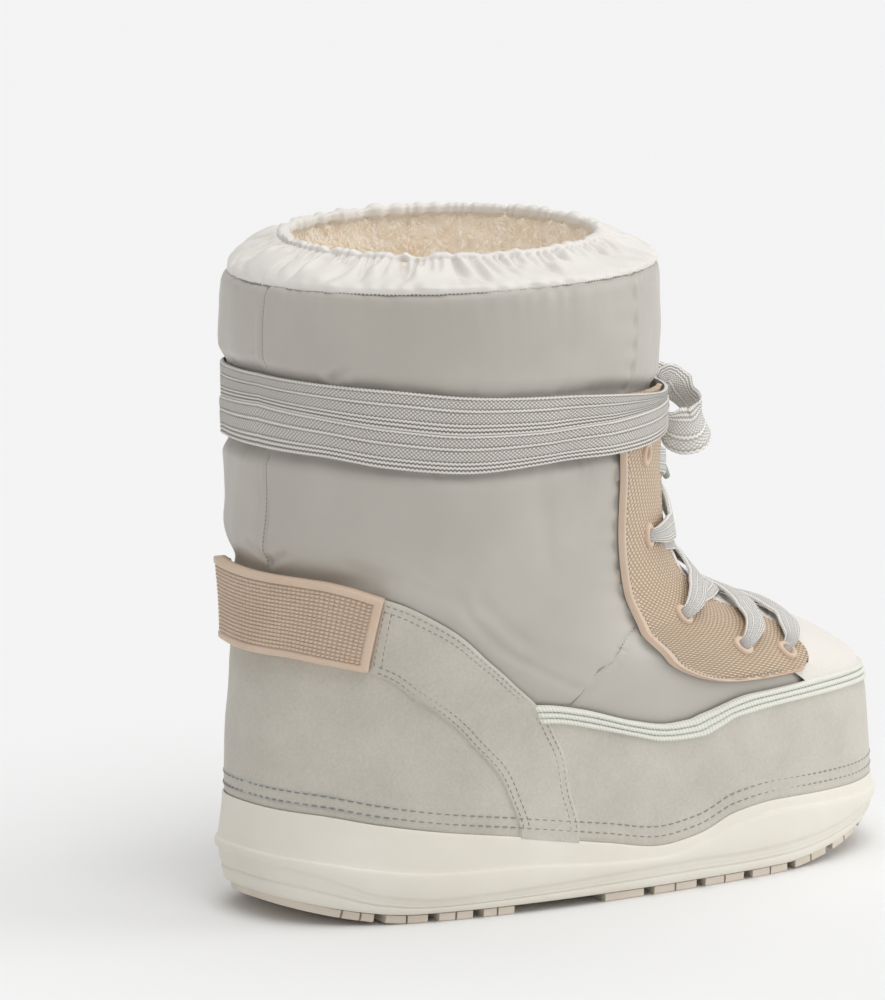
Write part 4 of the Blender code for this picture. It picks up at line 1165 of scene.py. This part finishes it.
def eyelet_ring(eyelet, side):
    """Raised oval collar round a hole."""
    place, sideways, rising, up = eyelet_frame(eyelet, side)
    around = circle(36)
    section = [(0.50, 0.2), (EYELET_HOLE, 2.9), (0.58, 3.45), (0.68, 3.75),
               (0.82, 3.7), (0.94, 3.3), (1.0, 2.7), (1.0, 2.0)]
    rows = [place + up * out
            + np.outer(np.cos(around), sideways) * EYELET_SHORT * size
            + np.outer(np.sin(around), rising) * EYELET_LONG * size for size, out in section]
    return grid_mesh("eyelet", np.array(rows)[::-1], closed=True)


# Heel strap

def make_strap():
    """Moulded strap: studded field inside a raised rim."""
    stud_columns, stud_rows = 54, 17
    rim_steps = 5
    rim_share = 0.030
    field = np.linspace(-1, 1, stud_columns * 5 + 1) * (1 - 2 * rim_share)
    edge = np.linspace(1 - 2 * rim_share, 1, rim_steps + 1)[1:]
    columns = np.concatenate([-edge[::-1], field, edge])
    rim = STRAP_RIM / (STRAP[0].top - STRAP[0].bottom)
    low_rim = np.linspace(0, rim, rim_steps + 1)[:-1]
    parts = np.concatenate([low_rim, np.linspace(rim, 1 - rim, stud_rows * 5 + 1), 1 - low_rim[::-1]])
    part, column = crossed(parts, columns)
    turn = np.abs(column) * STRAP[-1].turn
    low, high, stand = (read(STRAP, "turn", name, turn) for name in ("bottom", "top", "stand_off"))
    height = low + (high - low) * part
    slanted = np.sign(column) * (turn + STRAP_SLANT * (part - 0.55) * smooth_step(np.abs(column)))
    in_rows = np.clip((part - rim) / (1 - 2 * rim), 0, 1)
    in_columns = np.clip((column / (1 - 2 * rim_share) + 1) / 2, 0, 1)
    wave_rows = np.clip(2.0 * np.abs(np.sin(np.pi * in_rows * stud_rows)), 0, 1)
    wave_columns = np.clip(1.45 * np.abs(np.sin(np.pi * in_columns * stud_columns)), 0, 1)
    to_field = np.minimum(np.minimum(part, 1 - part) / rim, (1 - np.abs(column)) / (2 * rim_share))
    in_field = smooth_step((to_field - 0.82) / 0.18)
    outer = stand + STRAP_THICK + 0.5 * part
    rise = outer - 0.55 * (1 - quarter_round(to_field / 0.35)) - STRAP_RECESS * in_field
    rise = rise + STUD_HEIGHT * (smooth_step(wave_rows * wave_columns) - 0.15) * (to_field > 0.999)
    back, low_wall, high_wall, back_top = (
        skin(height[row], slanted[row], stand[row] + depth)
        for row, depth in ((0, 0.0), (0, 1.2), (-1, 1.2), (-1, 0.0)))
    points = np.concatenate([[back], [low_wall], skin(height, slanted, rise), [high_wall], [back_top]])
    spots = np.linspace(0, 1, len(points))
    left, right = (
        skin(spots * (height[-1, end] - height[0, end]) + height[0, end],
             np.interp(spots, parts, slanted[:, end]), stand[0, end]) for end in (0, -1))
    points = np.concatenate([left[:, None], points, right[:, None]], axis=1)
    strap = sheet("heel_strap_band", points, BEIGE_RUBBER, "beige_rubber", closed_rows=True)
    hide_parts("heel_strap")


# Laces

def band_seat(turn):
    return BAND_SEAT + (BAND_OVER_EYESTAY - BAND_SEAT) * smooth_step((folded(turn) - 0.25) / 0.05)


def lace_section(share, thick):
    """Rise of a flat lace across its width, with rounded edges and low ropes."""
    body = thick * np.maximum(quarter_round(np.minimum(share, 1 - share) / 0.07), np.sqrt(0.02))
    width = share * LACE_WIDTH
    for groove in (1.1, 4.25, 5.55, 9.45, 10.85, 12.35):
        body = body - 0.3 * np.exp(-((width - groove) / 0.22) ** 2)
    return body


def make_band(label, top_name, low_name, lift, full_width):
    turns = ring_turns(185.0, 560)
    shares = np.linspace(0, 1, 44)
    share, turn = crossed(shares, turns)
    side = folded(turn)
    top = read(BAND_EDGES, "turn", top_name, side)
    low = read(BAND_EDGES, "turn", low_name, side)
    if not full_width:
        low = np.minimum(low - 0.4, top - 4.6)
    height = top + (low - top) * share
    rise = band_seat(turn) + lift + lace_section(share, 1.7)
    rise = rise + 0.22 * ripple(turn * AROUND, height * 0.5, 60.0, 71)
    points = skin(height, turn, rise)
    along = np.concatenate([turns, [1.0]]) * AROUND
    chart = np.stack(np.broadcast_arrays(along[None, :], (share * LACE_WIDTH)[:, :1]), axis=-1)
    mesh = grid_mesh(label, points[::-1], closed=True, chart=chart[::-1])
    band = finished(f"{label}_wrap", mesh, BAND_LACE)
    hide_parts(label)


def smooth_route(route, count):
    """Points of a smooth curve through the route's own points, evenly spaced."""
    route = np.array(route, float)
    ends = np.concatenate([[2 * route[0] - route[1]], route, [2 * route[-1] - route[-2]]])
    fine = []
    for index in range(len(route) - 1):
        before, start, end, after = ends[index:index + 4]
        part = np.linspace(0, 1, 24, endpoint=False)[:, None]
        fine.append(0.5 * (2 * start + (end - before) * part
                           + (2 * before - 5 * start + 4 * end - after) * part**2
                           + (3 * start - before - 3 * end + after) * part**3))
    fine = np.concatenate(fine + [route[-1:]])
    length = travelled(fine)
    at = np.linspace(0, length[-1], count)
    return sampled(at, length, fine)


def ribbon_mesh(name, centres, ups, widths, thick, cup=0.0):
    """Flat lace along its centres: ups are the directions that its upper face looks."""
    tangents = unit(np.gradient(centres, axis=0))
    sides = unit(np.cross(tangents, ups))
    ups = unit(np.cross(sides, tangents))
    shares = np.linspace(0, 1, 17)
    face = quarter_round(np.minimum(shares, 1 - shares) / 0.12)
    place = np.concatenate([shares, shares[::-1]])
    lift = np.concatenate([face, -face[::-1]]) * thick / 2
    curl = cup * (2 * place - 1) ** 2
    widths = np.broadcast_to(widths, (len(centres),))
    points = (centres[:, None] + sides[:, None] * (widths[:, None] * (place - 0.5)[None])[..., None]
              + ups[:, None] * (lift + curl)[None, :, None])
    chart_place = np.append(place, place[0]) * LACE_WIDTH
    chart = np.stack(np.broadcast_arrays(travelled(centres)[:, None], chart_place[None]), axis=-1)
    return capped(grid_mesh(name, points, closed=True, chart=chart))


Station = namedtuple("Station", "height turn out width")
EyestayEdge = namedtuple("EyestayEdge", "height turn")
STRAND_EDGES = table(EyestayEdge,
    (166.0, 0.410), (134.6, 0.411), (109.6, 0.415), (96.8, 0.415), (90.4, 0.402))


def strand(name, number, side, level):
    """Lace out of one eyelet, over the eyestay's edge and in under the other eyestay higher up."""
    eyelet, edge, end = EYELETS[number], STRAND_EDGES[number], STRAND_EDGES[number - 1]
    rise, reach = edge.height - eyelet.height, edge.turn - eyelet.turn
    climb = end.height - 3.0 - edge.height
    stations = [Station(eyelet.height + share * rise, eyelet.turn + share * reach, out, width)
                for share, out, width in (
        (0, 0.8, 3.8), (0.10, 4.2, 5.0), (0.45, 5.1, 8.2), (0.80, 4.9, 9.4))]
    stations += [Station(edge.height + share * climb, turn, out, width) for share, turn, out, width in (
        (0.03, edge.turn + 0.008, 3.9 + level, 9.6),
        (0.30, 0.465, 3.4 + level, 9.6),
        (0.62, 0.525, 3.4 + level, 9.6),
        (0.90, 1.0 - end.turn - 0.010, 3.4, 9.0),
        (1.00, 1.0 - end.turn + 0.012, 1.4, 8.4))]
    heights, turns, outs, breadths = (np.array(column) for column in zip(*stations))
    route = skin(heights, turns * side, outs)
    centres = smooth_route(route, 70)
    spots = travelled(route)
    at = np.linspace(0, spots[-1], 70)
    ups = sampled(at, spots, normal(heights, turns * side))
    return ribbon_mesh(name, centres, ups, np.interp(at, spots, breadths) * LACE_SPREAD, LACE_THICK)


def make_laces():
    """Crossed lacing: each strand leaves an eyelet and dives under the opposite eyestay one row up."""
    straight = finished("lace_row_4", straight_bar("lace_row_4", EYELETS[4]), LACE)
    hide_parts("lace_bar_4")
    for number in (3, 2, 1):
        pair = [strand(f"strand_{number}_lateral", number, 1, 1.3),
                strand(f"strand_{number}_medial", number, -1, 0.0)]
        row = finished(f"lace_row_{number}", joined(f"lace_row_{number}", pair), LACE)
        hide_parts(f"lace_bar_{number}")


def straight_bar(name, eyelet):
    """The first lace, straight across from eyelet to eyelet."""
    part = np.linspace(0, 1, 80)
    turn = eyelet.turn + (1 - 2 * eyelet.turn) * part
    rise = smooth_step(1 - np.abs(2 * part - 1))
    height = eyelet.height + 12.0 * np.sqrt(rise)
    near = np.minimum(part, 1 - part)
    out = 0.8 + 4.0 * smooth_step(near / 0.05) - 1.4 * smooth_step((near - 0.16) / 0.1)
    width = 3.8 + 5.6 * smooth_step(near / 0.14)
    return ribbon_mesh(name, skin(height, turn, out), normal(height, turn), width * LACE_SPREAD, LACE_THICK)


def make_knot():
    """Knot: turns of lace drawn tight round the crossing."""
    around = np.linspace(0, 2 * np.pi, 90)
    wraps = []
    for lean, radius, width in ((0.35, 4.7, 11.0), (-0.5, 5.4, 9.0)):
        ring_y = np.sin(around) * radius * 0.25
        centres = np.stack([KNOT_CENTRE[0] + np.cos(around) * radius * 0.85,
                            KNOT_CENTRE[1] + ring_y + lean * np.sin(around) * radius,
                            KNOT_CENTRE[2] + np.sin(around) * radius * 0.98], axis=1)
        wraps.append(ribbon_mesh("wrap", centres, centres - np.array(KNOT_CENTRE), width, 1.8, cup=-1.2))
    knot = finished("bow_knot", joined("bow_knot", wraps), LACE)
    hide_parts("lace_knot")
    return knot


def sided(points, side):
    """Points of the lateral side, or their mirror on the medial side."""
    return np.array(points) * (1, side, 1)


LOOP_WIDTH_DIRECTION = (-0.22, 0.16, 0.95)
HANGING_FACE = (0.75, -0.65, 0.1)
LOOP_END = 0.60
BOW_THICK = 1.2
BowWidth = namedtuple("BowWidth", "spot width")
BOW_WIDTHS = table(BowWidth, (0, 7.0), (0.06, 11.5), (0.16, 14.5), (0.30, 16.0), (0.46, 18.5),
                   (0.56, 16.5), (0.66, 8.0), (0.72, 5.5), (0.92, 5.5), (1.0, 3.0))


def make_bow(label, side):
    """One side of the bow: its loop, then the end that hangs from the knot."""
    tail = sided(END_ROUTE, side)
    centres = smooth_route(np.concatenate([sided(LOOP_ROUTE, side), tail]), 150)
    spots = travelled(centres)
    length = spots[-1] * MM
    spots = spots / spots[-1]
    facing = unit(np.cross(sided(LOOP_WIDTH_DIRECTION, side), unit(np.gradient(centres, axis=0))))
    hanging = sided(HANGING_FACE, side)
    share = smooth_step((spots - LOOP_END) / 0.14)[:, None]
    before = facing[np.searchsorted(spots, LOOP_END)]
    if np.dot(before, hanging) < 0:
        hanging = -hanging
    steady = np.where(spots[:, None] > LOOP_END, before, facing)
    ups = unit(steady * (1 - share) + hanging * share)
    widths = np.interp(spots, *zip(*BOW_WIDTHS))
    mesh = ribbon_mesh(f"bow_{label}", centres, ups, widths, BOW_THICK)
    bow = finished(f"bow_{label}", mesh, LACE)
    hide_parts(f"lace_loop_{label}", f"lace_end_{label}")
    aglet = make_aglet(label, side, tail[-1])
    print(f"bow_{label} length {length:.4f}")


def make_aglet(label, side, start):
    tip = sided(AGLET_TIP, side)
    along = unit(tip - start)
    across = unit(np.cross(along, np.array([1.0, 0, 0])))
    other = np.cross(along, across)
    around = circle(24)
    ring = np.outer(np.cos(around), across) + np.outer(np.sin(around), other) * 0.8
    length = np.linalg.norm(tip - start)
    profile = [(-0.05, 0.2), (-0.05, 0.95), (0.0, 1.0), (0.35, 1.0), (0.38, 0.97), (0.90, 0.92),
               (0.97, 0.80), (1.0, 0.55), (1.0, 0.05)]
    rows = [start + along * length * part + ring * AGLET_RADIUS * size for part, size in profile]
    aglet = sheet(f"aglet_tip_{label}", np.array(rows), AGLET, "aglet", closed=True)
    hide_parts(f"aglet_{label}")
    return aglet


# Stitches

Stitch = namedtuple("Stitch", "pitch length radius", defaults=(2.5, 1.8, 0.2))
ThreadRing = namedtuple("ThreadRing", "place size sunk")
THREAD_RINGS = table(ThreadRing,
    (-0.5, 0.45, 0.9), (-0.32, 0.95, 0.25), (0.32, 0.95, 0.25), (0.5, 0.45, 0.9))


def stitch_row(heights, turns, out, stitch, line=None):
    """A row of short threads along a line on the skin, or along a line that is given."""
    line = skin(heights, turns, out) if line is None else line
    ups = normal(heights, turns)
    away = travelled(line)
    count = int(away[-1] // stitch.pitch)
    at = (np.arange(count) + 0.5) * stitch.pitch
    centre = sampled(at, away, line)
    up = unit(sampled(at, away, ups))
    along = unit(sampled(at + 0.6, away, line) - centre)
    side = unit(np.cross(up, along))
    around = circle(6)
    rings = []
    for place, size, sunk in THREAD_RINGS:
        middle = centre + along * stitch.length * place - up * stitch.radius * sunk
        ring = (side[:, None] * np.cos(around)[None, :, None]
                + up[:, None] * np.sin(around)[None, :, None]) * stitch.radius * size
        rings.append(middle[:, None] + ring)
    sides = len(around)
    index = np.arange(4 * sides).reshape(4, sides)
    faces = cells(np.concatenate([index, index[:, :1]], axis=1)).reshape(-1, 4)
    faces = faces[None] + np.arange(count)[:, None, None] * sides * 4
    return plain_mesh("row", np.stack(rings, axis=1), faces)


def both_sides(heights, turns, out, stitch=Stitch()):
    """The same row of stitches on the lateral and the medial side."""
    return [stitch_row(heights, turns * side, out, stitch) for side in (1, -1)]


def wing_stitches():
    rows = []
    path = np.linspace(0, 1, 200)
    edges = [(band_grid(WING, path, np.full(200, across)), way, start)
             for across, way, start in ((1.0, -1, 0.02), (0.0, 1, 0.03))]
    for distance in (1.9, 4.3):
        for edge, way, start in edges:
            heights, turns = shifted(*edge, way * distance)
            keep = (heights > lip_height(turns) + 2.0) & (path > start)
            rows += both_sides(heights[keep], turns[keep], WING_THICK)
    for along in (0.022, 0.05):
        rows += both_sides(*band_grid(WING, np.full(40, along), np.linspace(0.12, 0.9, 40)), WING_THICK)
    whole = even_turns(30.0, 1500)
    on_wing = (folded(whole) > WING[-1].rear_turn) & (folded(whole) < WING[-1].front_turn)
    out = 1.7 + 0.45 * on_wing
    for rise in (3.6, 7.4):
        rows.append(stitch_row(lip_height(whole) + rise, whole, out, Stitch(3.4, 2.3, 0.24)))
    return rows


def pale_stitches():
    heel = even_turns(30.0, 400, -0.12, 0.12)
    rows = [stitch_row(lip_height(heel) + rise, heel, 1.66, Stitch(3.6, 3.7, 0.26))
            for rise in (3.0, 7.9)]
    toe = toe_turns(900)
    low, high = edge_height(RAND_TOP, toe), edge_height(PIPING_TOP, toe)
    for share in (0.335, 0.665):
        rows.append(stitch_row(low + (high - low) * share, toe, 1.95, Stitch(2.2, 1.5, 0.22)))
    return rows


def shaft_threads():
    """Seams of the vamp and of the back, and the ring of stitches under the collar, in thread painted the
    shaft's shade colour.
    """
    corners = [(VAMP_SEAM[0].turn * AROUND, VAMP_SEAM[0].height, 0)]
    corners += [(crease.end_turn * AROUND, crease.end_height, 0) for crease in VAMP_SEAM]
    seam = smooth_route(corners, 90)
    rows = both_sides(seam[:, 1], seam[:, 0] / AROUND, -0.55, Stitch(1.4, 1.3, 0.14))
    turns = np.full(60, BACK_SEAM_TURN)
    for top, low in ((235.0, 204.0), (173.0, 131.0)):
        heights = top + (low - top) * np.linspace(0, 1, 60)
        line = tipped(skin(heights, turns, 0.1 + shaft_relief(heights, turns)))
        rows.append(stitch_row(heights, turns, 0.0, Stitch(1.6, 1.2, 0.15), line))
    ring = even_turns(SEAM_HEIGHT, 900)
    line = tipped(skin(SEAM_HEIGHT - 0.2, ring, -1.0))
    rows.append(stitch_row(230.0, ring, 0.0, Stitch(1.5, 1.45, 0.5), line))
    return rows


def make_stitches():
    rear = band_grid(EYESTAY, np.linspace(0.02, 0.985, 300), np.zeros(300))
    stay_rows = both_sides(*shifted(*rear, 4.0), 2.35, Stitch(2.0, 1.4, 0.24))
    for name, rows, thread, body_slot in (
            ("shaft_seam_threads", shaft_threads(), SEAM_THREAD, "shaft_nylon"),
            ("seam_stitches", wing_stitches(), DARK_THREAD, "nubuck"),
            ("pale_stitches", pale_stitches(), PALE_THREAD, "nubuck"),
            ("eyestay_stitches", stay_rows, DARK_THREAD, "beige_rubber")):
        finished(name, joined(name, rows), thread)


# Stage, light and camera

FLOOR_REACH = 30000.0
WORLD_STRENGTH = 0.45
Sun = namedtuple("Sun", "name direction strength spread")
SUNS = table(Sun, ("overhead", (0.15, 0.10, 1.0), 0.82, 50), ("high_front", (-0.15, -0.55, 1.0), 0.82, 40),
             ("right_side", (0.85, -0.50, 0.34), 0.92, 40))


def make_floor():
    reach = FLOOR_REACH
    corners = [(-reach, -reach, 0), (reach, -reach, 0), (reach, reach, 0), (-reach, reach, 0)]
    mesh = plain_mesh("floor", corners, [(0, 1, 2, 3)])
    mesh.materials.append(Finish("floor_paint", "F2F2F2", 0.9).material)
    placed("floor", mesh)


def sun_light(name, direction, strength, spread):
    """Far soft light that comes from a direction."""
    data = bpy.data.lights.new(name, "SUN")
    data.energy = strength
    data.angle = np.radians(spread)
    placed(name, data).rotation_euler = Vector(direction).to_track_quat("Z", "Y").to_euler()


def make_light():
    world = bpy.data.worlds.new("studio")
    bpy.context.scene.world = world
    world.use_nodes = True
    background = world.node_tree.nodes["Background"]
    background.inputs["Color"].default_value = (1.0, 1.0, 1.0, 1.0)
    background.inputs["Strength"].default_value = WORLD_STRENGTH
    for sun in SUNS:
        sun_light(*sun)


def make_camera():
    data = bpy.data.cameras.new("camera")
    data.lens = CAMERA_LENS
    data.sensor_width = CAMERA_SENSOR
    data.sensor_fit = "AUTO"
    camera = placed("camera", data)
    camera.location = CAMERA_PLACE
    toward = Vector(CAMERA_TARGET) - Vector(CAMERA_PLACE)
    camera.rotation_euler = toward.to_track_quat("-Z", "Y").to_euler()
    bpy.context.scene.camera = camera
    bpy.context.scene.view_settings.view_transform = "Standard"


make_camera()
make_light()
make_floor()
bow_knot = make_knot()
make_bow("lateral", 1)
make_bow("medial", -1)
make_upper()
make_collar()
make_lining()
make_tufts()
make_insole()
make_midsole()
make_outsole()
make_counter()
make_wing("wing_lateral", False)
make_wing("wing_medial", True)
make_rand()
make_piping()
make_vamp_panel()
make_tongue()
make_eyestay("eyestay_lateral", 1)
make_eyestay("eyestay_medial", -1)
make_strap()
make_band("lace_band_upper", "top", "middle", 0.0, False)
make_band("lace_band_lower", "middle", "bottom", 0.5, True)
make_laces()
make_stitches()
